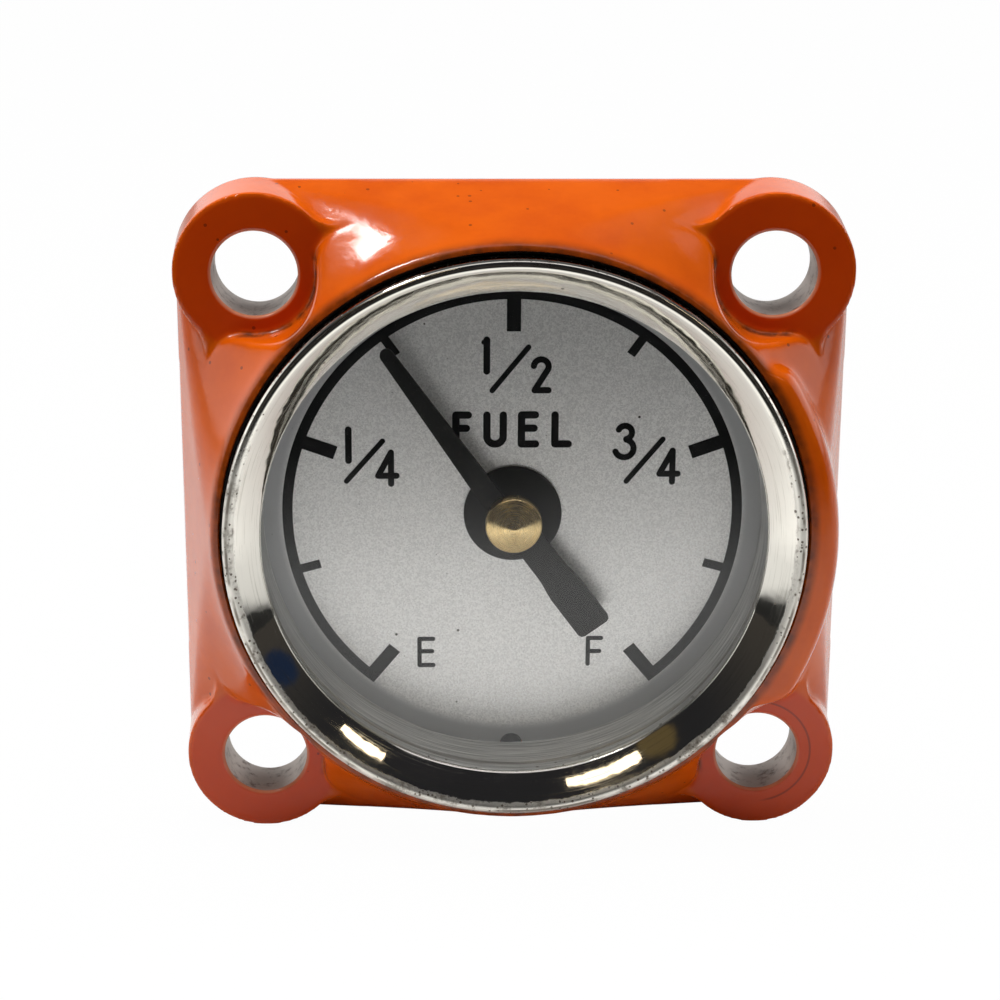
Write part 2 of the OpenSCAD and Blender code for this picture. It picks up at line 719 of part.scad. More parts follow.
module pinion() {
    color([0.8, 0.66, 0.38]) upright() difference() {
        translate([0, 0, pinion_front_z]) rotate([180, 0, 0])
            linear_extrude(pinion_w, scale = inner_scale) polygon(pinion_outline);
        post(shaft_r, pinion_front_z - pinion_w - over, pinion_front_z + over);
    }
}

module thrust_washer() {
    color([0.75, 0.75, 0.75]) upright() difference() {
        post(thrust_r, thrust_back_z, thrust_back_z + thrust_t);
        post(shaft_r, thrust_back_z - over, thrust_back_z + thrust_t + over);
    }
}

// Bracket behind the casting, with its fixings

module bracket_arm() {
    reach_front = plate_front_z - pivot_z;
    linear_extrude(bracket_t) difference() {
        intersection() {
            translate([-bracket_end, -bracket_half_w])
                square([reach_front + bracket_end, 2 * bracket_half_w]);
            union() {
                circle(r = bracket_round_r);
                translate([0, -bracket_half_w]) square([reach_front, 2 * bracket_half_w]);
            }
        }
        circle(r = pivot_r);
    }
}

module at_stops() {
    at_pivot() for (side = [-1, 1]) rotate([0, 0, side * stop_angle]) translate([stop_at, 0, 0])
        children();
}

module movement_bracket() {
    color([0.62, 0.63, 0.65]) difference() {
        union() {
            upright() {
                intersection() {
                    post(plate_r, plate_back_z, plate_front_z);
                    translate([-bracket_outer, -spigot_r, plate_back_z - over])
                        cube([2 * bracket_outer, 2 * spigot_r, bracket_t + 2 * over]);
                }
                post(boss_r, boss_back_z, plate_back_z + bracket_t / 2);
            }
            at_pivot() {
                translate([0, 0, bracket_inner]) bracket_arm();
                translate([0, 0, -bracket_outer]) bracket_arm();
            }
        }
        upright() {
            post(bush_r, boss_back_z - over, plate_front_z + over);
            for (side = [-1, 1]) translate([0, side * screw_at, 0])
                post(screw_r, plate_back_z - over, plate_front_z + over);
        }
        at_stops() post(stop_r, bracket_inner - over, bracket_outer + over);
    }
}

module bracket_screws() {
    head_back_z = plate_back_z - screw_head_t;
    tip_z = screw_depth - spigot_length - blind_gap;
    color([0.7, 0.7, 0.72]) upright() for (side = [-1, 1]) translate([0, side * screw_at, 0])
        difference() {
            union() {
                post(screw_head_r, head_back_z, plate_back_z);
                post(screw_r, head_back_z, tip_z);
            }
            translate([-screw_head_r, -slot_w / 2, head_back_z - over])
                cube([2 * screw_head_r, slot_w, over + screw_head_t / 2]);
        }
}

module shaft_bush() {
    color([0.75, 0.55, 0.3]) upright() difference() {
        post(bush_r, bush_back_z, bush_front_z);
        post(shaft_r + running, bush_back_z - over, bush_front_z + over);
    }
}

module pivot_pin() {
    neck_r = pivot_r - clip_groove;
    color([0.7, 0.7, 0.72]) at_pivot() difference() {
        union() {
            post(pin_head_r, -bracket_outer - pin_head_t, -bracket_outer);
            post(pivot_r, -bracket_outer - pin_head_t, bracket_outer + pin_tail);
        }
        difference() {
            post(pivot_r + over, bracket_outer, bracket_outer + clip_t);
            post(neck_r, bracket_outer - over, bracket_outer + clip_t + over);
        }
    }
}

module pivot_clip() {
    neck_r = pivot_r - clip_groove;
    mouth = 2 * neck_r - slot_w;
    color([0.3, 0.3, 0.32]) at_pivot() difference() {
        post(clip_r, bracket_outer, bracket_outer + clip_t);
        post(neck_r, bracket_outer - over, bracket_outer + clip_t + over);
        translate([0, -mouth / 2, bracket_outer - over]) cube([clip_r + over, mouth, clip_t + 2 * over]);
    }
}

module pivot_washers() {
    near = gear_back_x + end_play;
    color([0.75, 0.75, 0.75]) at_pivot() for (side = [0, 1]) mirror([0, 0, side]) difference() {
        post(pivot_washer_r, near, near + pivot_washer_t);
        post(pivot_r + running, near - over, near + pivot_washer_t + over);
    }
}

module travel_stops() {
    color([0.7, 0.7, 0.72]) at_stops() post(stop_r, joint_x + web_t, bracket_outer);
}

// Sector gear and float arm, which swing together on the pivot

module gear_tooth() {
    along = [gear_pitch_r, 0, pinion_pitch_r];
    up = [pinion_pitch_r, 0, -gear_pitch_r] / cone_length;
    half = PI * gear_module / 4 - backlash / 4;
    levels = [gear_addendum, -dedendum - tooth_sink];
    outer = [for (h = levels, side = [1, -1])
        along + up * h + [0, side * (half - h * tan(pressure_angle)), 0]];
    polyhedron(
        points = concat(outer, [for (p = outer) p * inner_scale]),
        faces = [[0, 1, 3], [0, 3, 2], [4, 7, 5], [4, 6, 7], [0, 4, 5], [0, 5, 1],
                 [2, 3, 7], [2, 7, 6], [0, 2, 6], [0, 6, 4], [1, 5, 7], [1, 7, 3]]
    );
}

module rivet_places() {
    for (i = [0 : rivet_count - 1]) rotate([0, 0, 360 / rivet_count * i]) translate([rivet_at, 0, 0])
        children();
}

module sector_gear() {
    web_back = joint_x + web_t;
    web_inner_r = flange_r - over;
    first = ceil(-travel_up / gear_pitch_angle - 1.5);
    last = floor(travel_down / gear_pitch_angle + 1.5);
    color([0.8, 0.66, 0.38]) at_pivot() {
        difference() {
            union() {
                rotate([0, 0, sector_low]) rotate_extrude(angle = sector_high - sector_low) polygon([
                    [web_inner_r, root_slope * web_inner_r], [gear_rim_r, root_slope * gear_rim_r],
                    [gear_rim_r, gear_back_x], [gear_rim_r - web_t, gear_back_x],
                    [web_inner_r, web_back - over]
                ]);
                post(flange_r, joint_x, web_back);
                post(gear_hub_r, joint_x, gear_back_x);
            }
            post(pivot_r + running, -over, gear_back_x + over);
            rivet_places() post(rivet_r, -over, gear_back_x);
        }
        for (k = [first : last]) rotate([0, 0, k * gear_pitch_angle]) gear_tooth();
    }
}

// Turns the arm's own frame, x along the rod, to where the arm rests
module along_arm() {
    rotate([0, 0, 180 - arm_rest]) children();
}

module float_arm_hub() {
    color([0.66, 0.67, 0.69]) at_pivot() difference() {
        union() {
            post(flange_r, arm_flange_x, joint_x);
            post(arm_hub_r, hub_back_x, joint_x);
            along_arm() translate([0, 0, socket_x]) rotate([0, 90, 0]) post(socket_r, 0, socket_reach);
        }
        post(pivot_r + running, hub_back_x - over, joint_x + over);
        along_arm() translate([0, 0, socket_x]) rotate([0, 90, 0])
            post(rod_bore_r, socket_reach - rod_bore_depth, socket_reach + over);
        along_arm() translate([set_screw_at, 0, socket_x]) post(set_screw_r, -socket_r - over, 0);
        rivet_places() post(rivet_r, arm_flange_x - over, joint_x + over);
    }
}

module gear_rivets() {
    low = arm_flange_x - rivet_head_t;
    high = joint_x + web_t + rivet_head_t;
    color([0.78, 0.64, 0.36]) at_pivot() rivet_places() {
        post(rivet_head_r, low, arm_flange_x);
        post(rivet_r, low, high);
        post(rivet_head_r, joint_x + web_t, high);
    }
}

module rod_set_screw() {
    outer = -socket_r - set_screw_stand;
    color([0.3, 0.3, 0.32]) at_pivot() along_arm() translate([set_screw_at, 0, socket_x]) difference() {
        post(set_screw_r, outer, -rod_bore_r - end_play);
        translate([-set_screw_r - over, -slot_w / 2, outer - over])
            cube([2 * (set_screw_r + over), slot_w, over + set_screw_stand / 2]);
    }
}

flange_casting();
bezel_seal();
bezel_ring();
lens();
spacer_ring();
dial_plate();
dial_scale();
dial_bush();
dial_pin();
spindle_jewel();
pointer();
pointer_cap();
pointer_collar();
pointer_spindle();
driven_magnet();
drive_shaft();
drive_magnet();
magnet_cup();
pinion();
thrust_washer();
movement_bracket();
bracket_screws();
shaft_bush();
pivot_pin();
pivot_clip();
pivot_washers();
travel_stops();
sector_gear();
float_arm_hub();
gear_rivets();
rod_set_screw();
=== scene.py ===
from math import acos, asin, atan2, cos, degrees, hypot, pi, radians, sin, sqrt, tan

import bpy
from mathutils import Matrix, Vector


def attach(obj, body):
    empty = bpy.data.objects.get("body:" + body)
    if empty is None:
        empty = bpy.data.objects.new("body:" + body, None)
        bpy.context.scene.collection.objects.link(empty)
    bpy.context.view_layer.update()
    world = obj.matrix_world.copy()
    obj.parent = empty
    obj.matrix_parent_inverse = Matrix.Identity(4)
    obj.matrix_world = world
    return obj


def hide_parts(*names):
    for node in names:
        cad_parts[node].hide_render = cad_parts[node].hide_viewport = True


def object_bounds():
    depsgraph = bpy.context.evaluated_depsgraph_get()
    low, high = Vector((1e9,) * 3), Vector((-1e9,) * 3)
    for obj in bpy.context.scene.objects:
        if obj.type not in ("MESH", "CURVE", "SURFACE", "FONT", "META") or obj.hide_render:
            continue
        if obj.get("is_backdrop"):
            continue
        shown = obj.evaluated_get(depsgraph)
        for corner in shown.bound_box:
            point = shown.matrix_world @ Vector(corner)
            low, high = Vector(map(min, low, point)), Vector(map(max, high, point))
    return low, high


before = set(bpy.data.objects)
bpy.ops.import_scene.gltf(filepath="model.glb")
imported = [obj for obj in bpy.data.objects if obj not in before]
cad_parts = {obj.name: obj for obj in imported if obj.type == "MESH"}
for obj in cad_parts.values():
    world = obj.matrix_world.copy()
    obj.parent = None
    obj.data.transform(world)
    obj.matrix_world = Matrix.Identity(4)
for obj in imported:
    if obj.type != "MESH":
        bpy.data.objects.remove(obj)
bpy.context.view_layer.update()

# Flange casting
# A die casting with a round rim on a square foot, four bolt ears with a pocket above each,
# and a spigot behind. It is painted with thick orange enamel, and the bolt holes are bare.


def select_only(piece):
    """Select one piece and nothing else."""
    bpy.ops.object.select_all(action="DESELECT")
    piece.select_set(True)
    bpy.context.view_layer.objects.active = piece


def edit(piece):
    """Open a piece in edit mode with all its points selected."""
    select_only(piece)
    bpy.ops.object.mode_set(mode="EDIT")
    bpy.ops.mesh.select_mode(type="VERT")
    bpy.ops.mesh.select_all(action="SELECT")


def chain(points):
    """A line of edges, extruded from point to point and left selected in edit mode."""
    bpy.ops.object.select_all(action="DESELECT")
    bpy.ops.mesh.primitive_plane_add(size=1)
    piece = bpy.context.object
    edit(piece)
    bpy.ops.mesh.merge(type="CENTER")
    bpy.ops.mesh.select_all(action="SELECT")
    bpy.ops.transform.translate(value=points[0])
    for start, end in zip(points, points[1:]):
        step = [b - a for a, b in zip(start, end)]
        bpy.ops.mesh.extrude_region_move(TRANSFORM_OT_translate={"value": step})
    bpy.ops.mesh.select_all(action="SELECT")
    return piece


def close_mesh(gap=0.0005):
    """Merge doubles, turn the faces outwards and leave edit mode."""
    bpy.ops.mesh.select_all(action="SELECT")
    bpy.ops.mesh.remove_doubles(threshold=gap)
    bpy.ops.mesh.normals_make_consistent(inside=False)
    bpy.ops.object.mode_set(mode="OBJECT")


def turned(profile, steps=256):
    """A lathe-turned piece from its profile of radius and height."""
    piece = chain([(r, 0, z) for r, z in profile])
    bpy.ops.mesh.spin(steps=steps, angle=2 * pi, center=(0, 0, 0), axis=(0, 0, 1))
    close_mesh()
    return piece


def swept(profile, first, last, steps):
    """A closed profile swept round the axis between two angles in degrees."""
    piece = chain([(r * cos(radians(first)), r * sin(radians(first)), z) for r, z in profile])
    bpy.ops.mesh.edge_face_add()
    # Without a window the spin runs clockwise, so its angle is negative
    bpy.ops.mesh.spin(steps=steps, angle=-radians(last - first), center=(0, 0, 0), axis=(0, 0, 1))
    close_mesh()
    return piece


def cut_block(outline, low, high):
    """An outline filled and drawn up from one height to another."""
    piece = chain([(x, y, low) for x, y in outline])
    bpy.ops.mesh.edge_face_add()
    bpy.ops.mesh.extrude_region_move(TRANSFORM_OT_translate={"value": (0, 0, high - low)})
    close_mesh()
    return piece


def finish_with(piece, kind, **settings):
    """Apply one modifier to a piece."""
    select_only(piece)
    step = piece.modifiers.new("step", kind)
    for key, value in settings.items():
        setattr(step, key, value)
    bpy.ops.object.modifier_apply(modifier=step.name)


def combine(piece, tool, how="UNION"):
    """Join a second solid to a piece, or cut it out, and remove the second solid."""
    finish_with(piece, "BOOLEAN", operation=how, object=tool, solver="MANIFOLD")
    bpy.data.objects.remove(tool)


def soften(piece, width, segments=3, angle=30):
    """Round the sharp edges of a piece."""
    finish_with(piece, "BEVEL", width=width, segments=segments, limit_method="ANGLE",
                angle_limit=radians(angle))


def moved_copy(piece, matrix):
    """A copy with its own mesh, moved, turned or mirrored, with its faces outwards."""
    twin = piece.copy()
    twin.data = piece.data.copy()
    bpy.context.collection.objects.link(twin)
    twin.data.transform(matrix)
    if matrix.determinant() < 0:
        twin.data.flip_normals()
    return twin


def joined(first, *others):
    """Make one piece of several."""
    bpy.ops.object.select_all(action="DESELECT")
    for piece in (first, *others):
        piece.select_set(True)
    bpy.context.view_layer.objects.active = first
    bpy.ops.object.join()
    return first


def arc(centre, radius, start, end, count):
    """Points on an arc between two angles in degrees."""
    turns = [radians(start + (end - start) * i / count) for i in range(count + 1)]
    return [(centre[0] + radius * cos(a), centre[1] + radius * sin(a)) for a in turns]


# The reader's view, x right, y up, z towards the eye in millimetres, stood up in metres
UPRIGHT = Matrix.Rotation(radians(90), 4, "X") @ Matrix.Scale(0.001, 4)
AS_IS = Matrix.Identity(4)


def put_up(piece, body, node, finish, smooth=35, place=UPRIGHT, flat=True):
    """Stand a finished piece up in the frame, and tie it to its body, node and slot."""
    piece.name = node + "_piece"
    piece.data.transform(place)
    piece.data.materials.clear()
    piece.data.materials.append(finish)
    select_only(piece)
    bpy.ops.object.shade_smooth_by_angle(angle=radians(smooth))
    if flat:
        finish_with(piece, "WEIGHTED_NORMAL", keep_sharp=True)
    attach(piece, body)
    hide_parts(node)


# Nodes of a material. An output knows its own tree, so new nodes go where their inputs are.


def feed(socket, value):
    """Link an output to a socket, or set the socket to a number or a colour."""
    if isinstance(value, bpy.types.NodeSocket):
        socket.id_data.links.new(value, socket)
    elif isinstance(value, tuple) and len(value) == 3:
        socket.default_value = (*value, 1)
    else:
        socket.default_value = value


def add_node(tree, kind, settings=(), **inputs):
    """Add a node with settings. An input is a number, a colour or another node's output."""
    made = tree.nodes.new("ShaderNode" + kind)
    for key, value in dict(settings).items():
        setattr(made, key, value)
    for key, value in inputs.items():
        feed(made.inputs[key.replace("_", " ")], value)
    return made


def reckon(operation, *terms):
    """A Math node."""
    tree = next(term.id_data for term in terms if isinstance(term, bpy.types.NodeSocket))
    made = add_node(tree, "Math", {"operation": operation})
    for socket, term in zip(made.inputs, terms):
        feed(socket, term)
    return made.outputs[0]


def times(first, *others):
    """The product of outputs and numbers."""
    for other in others:
        first = reckon("MULTIPLY", first, other)
    return first


def most(first, *others):
    """The largest of outputs and numbers."""
    for other in others:
        first = reckon("MAXIMUM", first, other)
    return first


def axes(vector):
    """The X, Y and Z of a vector."""
    return add_node(vector.id_data, "SeparateXYZ", Vector=vector).outputs


def span(across, along):
    """The slanting distance over two square ones."""
    return reckon("SQRT", reckon("ADD", times(across, across), times(along, along)))


def noise(place, size, detail=3.0, roughness=0.5):
    """Soft noise whose lumps have this size in millimetres."""
    made = add_node(place.id_data, "TexNoise", Vector=place, Scale=1000 / size, Detail=detail,
                    Roughness=roughness)
    return made.outputs["Fac"]


def fade(value, low, high, at_low=0.0, at_high=1.0):
    """A smooth change from one value to another."""
    made = add_node(value.id_data, "MapRange", {"interpolation_type": "SMOOTHSTEP"}, Value=value,
                    From_Min=low, From_Max=high, To_Min=at_low, To_Max=at_high)
    return made.outputs["Result"]


def between(value, rise, fall):
    """A smooth band that comes in over one pair of values and goes out over another."""
    return times(fade(value, *rise), fade(value, *fall))


def tint(share, first, second):
    """Two colours mixed by a share."""
    made = add_node(share.id_data, "Mix", {"data_type": "RGBA"})
    for index, value in ((0, share), (6, first), (7, second)):
        feed(made.inputs[index], value)
    return made.outputs[2]


def bump(height, depth, strength=1.0):
    """A bump whose full height is this depth in millimetres."""
    made = add_node(height.id_data, "Bump", Height=height, Distance=depth / 1000, Strength=strength)
    return made.outputs["Normal"]


def wire(shader, **sockets):
    """Lead outputs to the shader's sockets, or set constants on them."""
    for key, value in sockets.items():
        feed(shader.inputs[key.replace("_", " ")], value)


def new_finish(name, **constants):
    """A material, its shader with constants set, and its Object coordinates."""
    made = bpy.data.materials.new(name)
    made.use_nodes = True
    shader = made.node_tree.nodes["Principled BSDF"]
    wire(shader, **constants)
    return made, shader, add_node(made.node_tree, "TexCoord").outputs["Object"]


def new_group(name, inputs, outputs):
    """An empty node group with number and vector sockets."""
    group = bpy.data.node_groups.new(name, "ShaderNodeTree")
    for label, kind in inputs:
        group.interface.new_socket(label, in_out="INPUT", socket_type="NodeSocket" + kind)
    for label, kind in outputs:
        group.interface.new_socket(label, in_out="OUTPUT", socket_type="NodeSocket" + kind)
    return group, group.nodes.new("NodeGroupInput").outputs, group.nodes.new("NodeGroupOutput").inputs


def use_group(group, **inputs):
    """Place a group in a material and give its outputs back."""
    return add_node(inputs["Place"].id_data, "Group", {"node_tree": group}, **inputs).outputs


# Where a point lies about the dial's axis: radius and height in millimetres, and its angle
about_dial, given, made = new_group(
    "about_dial", [("Place", "Vector")],
    [("Radius", "Float"), ("Height", "Float"), ("Angle", "Float")],
)
apart = axes(given["Place"])
feed(made["Radius"], times(span(apart["X"], apart["Z"]), 1000.0))
feed(made["Height"], times(apart["Y"], -1000.0))
feed(made["Angle"], reckon("ARCTAN2", apart["Z"], apart["X"]))

# Small specks of dirt or pits: a mask of round spots of uneven size
specks, given, made = new_group(
    "specks", [("Place", "Vector"), ("Scale", "Float"), ("Size", "Float"), ("Share", "Float")],
    [("Mask", "Float")],
)
cells = add_node(specks, "TexVoronoi", Vector=given["Place"], Scale=given["Scale"]).outputs
near = reckon("LESS_THAN", cells["Distance"], given["Size"])
chance = add_node(specks, "SeparateColor", Color=cells["Color"]).outputs["Red"]
feed(made["Mask"], times(near, reckon("LESS_THAN", chance, given["Share"])))


def speckle(place, scale, size, share):
    """Specks, so many to a metre, in a share of their cells."""
    return use_group(specks, Place=place, Scale=scale, Size=size, Share=share)["Mask"]


# Uneven handling: a slow change of gloss with fine grain in it
handled, given, made = new_group(
    "handled", [("Place", "Vector"), ("Low", "Float"), ("High", "Float")], [("Roughness", "Float")],
)
slow = noise(given["Place"], 6.0, 4.0, 0.6)
fine = noise(given["Place"], 0.5, 2.0, 0.5)
both = reckon("MULTIPLY_ADD", fine, 0.3, times(slow, 0.7))
spread = reckon("SUBTRACT", given["High"], given["Low"])
feed(made["Roughness"], reckon("MULTIPLY_ADD", fade(both, 0.3, 0.7), spread, given["Low"]))


def uneven(place, low, high):
    """A roughness that handling has left between two values."""
    return use_group(handled, Place=place, Low=low, High=high)["Roughness"]


hole_at = 25.4
hole_r = 4.23
ear_h = 6.35
ear_top_r = 8.0
ear_foot_r = 8.37
corner_r = 8.15
fillet_r = 4.0
base_half = 33.55
base_edge = 0.6
rim_r = 30.0
rim_h = 12.7
lip_r = 0.8
recess_r = 29.05
pocket_r = 6.15
lobe_r = 3.6
tip = (-9.1, 4.9)
under = 1.5
far = 20.0

# The square foot turns into the round rim ring by ring
levels = 16
rings = [(base_half, corner_r, -under)]
for i in range(levels):
    share = i / (levels - 1)
    rings.append((
        base_half + (rim_r - base_half) * share,
        rim_r - (rim_r - corner_r) * (1 - share) ** 1.6,
        base_edge + (rim_h - lip_r - base_edge) * share,
    ))
for r, z in arc((rim_r - lip_r, rim_h - lip_r), lip_r, 0, 90, 6)[1:]:
    rings.append((r, r, z))

parts = []
for half, corner, z in rings:
    bpy.ops.object.select_all(action="DESELECT")
    bpy.ops.mesh.primitive_plane_add(size=2 * half, location=(0, 0, z))
    edit(bpy.context.object)
    bpy.ops.mesh.bevel(offset=min(corner, half - 0.002), segments=24, affect="VERTICES")
    if z not in (rings[0][2], rings[-1][2]):
        bpy.ops.mesh.select_all(action="SELECT")
        bpy.ops.mesh.delete(type="ONLY_FACE")
    bpy.ops.object.mode_set(mode="OBJECT")
    parts.append(bpy.context.object)
casting = joined(*parts)
bpy.ops.object.transform_apply(location=True)
for low, high in zip(rings, rings[1:]):
    bpy.ops.object.mode_set(mode="EDIT")
    bpy.ops.mesh.select_all(action="DESELECT")
    bpy.ops.object.mode_set(mode="OBJECT")
    for edge in casting.data.edges:
        heights = [casting.data.vertices[v].co.z for v in edge.vertices]
        level = abs(heights[0] - heights[1]) < 0.001
        edge.select = level and min(abs(heights[0] - low[2]), abs(heights[0] - high[2])) < 0.001
    bpy.ops.object.mode_set(mode="EDIT")
    bpy.ops.mesh.select_mode(type="EDGE")
    bpy.ops.mesh.bridge_edge_loops()
close_mesh()


def cut_level(piece, height, gap=0.0005, **cleared):
    """Cut a piece level at a height and fill the cut."""
    edit(piece)
    bpy.ops.mesh.bisect(plane_co=(0, 0, height), plane_no=(0, 0, 1), use_fill=True, **cleared)
    close_mesh(gap)


slab = moved_copy(casting, AS_IS)
cut_level(slab, ear_h, clear_outer=True)

# A plain pad on the right side, which fades into the rim at both ends
pad_half = 40
pad_foot = 2.0
pad_drop = 0.15
pad = swept([
    (rim_r - 3, pad_foot), (rim_r + 0.9, pad_foot), (rim_r + 0.45, rim_h - 3.0),
    (rim_r + 0.25, rim_h - 1.6), (rim_r, rim_h - 0.9), (rim_r - 0.4, rim_h - 0.4),
    (rim_r - 0.9, rim_h - pad_drop), (rim_r - 3, rim_h - pad_drop),
], -pad_half, pad_half, 80)
for v in pad.data.vertices:
    radius = hypot(v.co.x, v.co.y)
    if radius > rim_r - 1:
        turn = atan2(v.co.y, v.co.x)
        ease = min(1, max(0, (radians(pad_half) - abs(turn)) / radians(9)))
        grow = ease * ease * (3 - 2 * ease) * (1.9 - 1.1 * turn) - 0.9 * (1 - ease)
        v.co.x *= (radius + grow) / radius
        v.co.y *= (radius + grow) / radius
combine(casting, pad)

# Pocket above an ear, whose wall runs out to the neck's tips in an S on either side
reach = hypot(*tip)
lobe = pocket_r + lobe_r
lobe_turn = degrees(atan2(tip[1], tip[0]) + acos((lobe**2 + reach**2 - lobe_r**2) / (2 * lobe * reach)))
lobe_at = (lobe * cos(radians(lobe_turn)), lobe * sin(radians(lobe_turn)))
lobe_start = degrees(atan2(tip[1] - lobe_at[1], tip[0] - lobe_at[0]))
run_out = arc(lobe_at, lobe_r, lobe_start, lobe_turn - 180, 12)
wall = run_out + arc((0, 0), pocket_r, lobe_turn, 450 - lobe_turn, 30)[1:-1]
wall += [(y, x) for x, y in reversed(run_out)]
pocket = cut_block(wall + [(far, tip[0]), (far, far), (tip[0], far)], -2 * under, 2 * rim_h)

# An ear with its hollow corners, and the part of the foot that lies under its pocket
fillet_y = tip[1] + fillet_r
fillet_x = -sqrt((ear_top_r + fillet_r) ** 2 - fillet_y**2)
bpy.ops.object.select_all(action="DESELECT")
bpy.ops.mesh.primitive_cone_add(vertices=160, radius1=ear_foot_r, radius2=ear_top_r,
                                depth=ear_h + under, location=(0, 0, (ear_h - under) / 2))
bpy.ops.object.transform_apply(location=True)
ear = bpy.context.object
swap = Matrix(((0, 1, 0, 0), (1, 0, 0, 0), (0, 0, 1, 0), (0, 0, 0, 1)))
for side in (AS_IS, swap):
    web = cut_block([(0, 0), (fillet_x, fillet_y), (fillet_x, 0)], -under, ear_h)
    hollow = cut_block(arc((fillet_x, fillet_y), fillet_r, 0, 354, 59), -2 * under, 2 * ear_h)
    combine(web, hollow, "DIFFERENCE")
    combine(ear, moved_copy(web, side))
    bpy.data.objects.remove(web)
margin = 1.0
zone = cut_block([
    (-margin, -margin), (tip[0] - margin, tip[1] - margin), (tip[0] - margin, far), (far, far),
    (far, tip[0] - margin), (tip[1] - margin, tip[0] - margin),
], -2 * under, 2 * ear_h)
combine(zone, cut_block(arc((0, 0), pocket_r + margin, 0, 354, 59), -2 * under, 2 * ear_h))
corners = [
    Matrix.Diagonal((x, y, 1, 1)) @ Matrix.Translation((hole_at, hole_at, 0))
    for x in (1, -1) for y in (1, -1)
]
for corner in corners:
    combine(casting, moved_copy(pocket, corner), "DIFFERENCE")

# The first skin rounds the rim and the pockets' upper edges, the second only welds the ears on
finish_with(casting, "REMESH", mode="VOXEL", voxel_size=0.34)
finish_with(casting, "SMOOTH", factor=0.5, iterations=14)
for corner in corners:
    foot = moved_copy(slab, AS_IS)
    combine(foot, moved_copy(zone, corner), "INTERSECT")
    combine(foot, moved_copy(ear, corner))
    combine(casting, foot)
for tool in (slab, pocket, ear, zone):
    bpy.data.objects.remove(tool)
finish_with(casting, "REMESH", mode="VOXEL", voxel_size=0.26)
finish_with(casting, "SMOOTH", factor=0.5, iterations=4)
cut_level(casting, 0, 0.00001, clear_inner=True)

# Machined places: the spigot with its rear recess, the seats in front and the bolt holes
seal_seat_h = 8.4
seat_r = 27.2
dial_seat_h = 2.78
well_r = 6.2
well_h = -1.6
spigot_r = 18.4
spigot_h = -8.0
rear_r = 8.6
rear_h = -3.2
edge = 0.3
recess = turned([
    (0, dial_seat_h), (seat_r, dial_seat_h), (seat_r, seal_seat_h - edge),
    (seat_r + edge, seal_seat_h), (recess_r, seal_seat_h), (recess_r, rim_h - edge),
    (recess_r + edge / 2, rim_h), (recess_r + edge, 2 * rim_h), (0, 2 * rim_h),
])
spigot = turned([
    (0, well_h), (well_r, well_h), (well_r, 1), (spigot_r - 0.5, 1), (spigot_r, 0.5),
    (spigot_r, spigot_h + edge), (spigot_r - edge, spigot_h), (rear_r + edge, spigot_h),
    (rear_r, spigot_h + edge), (rear_r, rear_h), (0, rear_h),
], 192)
shaft = cut_block(arc((0, 0), well_r, 0, 354, 59), 0.5, rim_h)
combine(casting, recess, "DIFFERENCE")
combine(casting, shaft, "DIFFERENCE")
combine(casting, spigot)
hole = turned([
    (0, -1), (hole_r + 1.2, -1), (hole_r + edge, 0), (hole_r, edge), (hole_r, ear_h - edge),
    (hole_r + 0.1, ear_h - 0.1), (hole_r + edge, ear_h), (hole_r + 1.2, ear_h + 1), (0, ear_h + 1),
], 96)
for x in (1, -1):
    for y in (1, -1):
        spot = Matrix.Translation((x * hole_at, y * hole_at, 0))
        combine(casting, moved_copy(hole, spot), "DIFFERENCE")
bpy.data.objects.remove(hole)

orange = (0.71, 0.110, 0.0015)
burnt = (0.60, 0.078, 0.001)
# A dark brown for specks of dirt and for painted shade.
soot_and_shade = (0.035, 0.012, 0.004)
zinc = (0.50, 0.44, 0.40)
machined = (0.58, 0.57, 0.55)
# A darker red for the painted shade on the ears' front faces.
shaded_ear_red = (0.61, 0.048, 0.001)
thin_paint = (0.75, 0.42, 0.26)
old_stain = (0.13, 0.09, 0.075)
enamel, shader, place = new_finish("orange_enamel", Specular_IOR_Level=0.45)
spot = use_group(about_dial, Place=place)
xyz = axes(place)
from_hole = [reckon("SUBTRACT", reckon("ABSOLUTE", xyz[axis]), hole_at / 1000) for axis in "XZ"]
hole_gap = times(1000.0, span(*from_hole))
patchy = noise(place, 9.0, 5.0, 0.6)
lumps = noise(place, 1.6, 3.0, 0.55)
# Painted shade: the rim is darkened in blotches next to the gap at the bezel, where shade falls.
rim_painted_shade = times(fade(spot["Radius"], 30.35, 29.45), fade(spot["Height"], 10.5, 11.5),
                  fade(lumps, 0.3, 0.7, 0.5, 0.8))
inward = reckon("ADD", *from_hole)
# Painted shade: a lumpy dark band along the crease where the pocket wall meets the ear face.
crease_shade = times(between(hole_gap, (5.6, 6.05), (6.6, 6.2)), fade(spot["Height"], 7.6, 6.6),
               fade(spot["Height"], 5.6, 6.2), fade(inward, -0.003, -0.005),
               fade(lumps, 0.35, 0.62, 0.14, 0.85))
washer_mark = times(between(hole_gap, (5.42, 5.52), (5.72, 5.62)), fade(xyz["X"], 0.0255, 0.0275),
                    fade(xyz["Z"], 0.0, -0.01))
flecks = speckle(place, 900.0, 0.16, 0.10)
# This dark mix holds the painted shade at the rim and in the creases, together with the washer mark and
# real specks of dirt.
darkening = most(rim_painted_shade, crease_shade, times(washer_mark, 0.5), times(flecks, 0.55))
paint = tint(fade(patchy, 0.35, 0.75), orange, burnt)
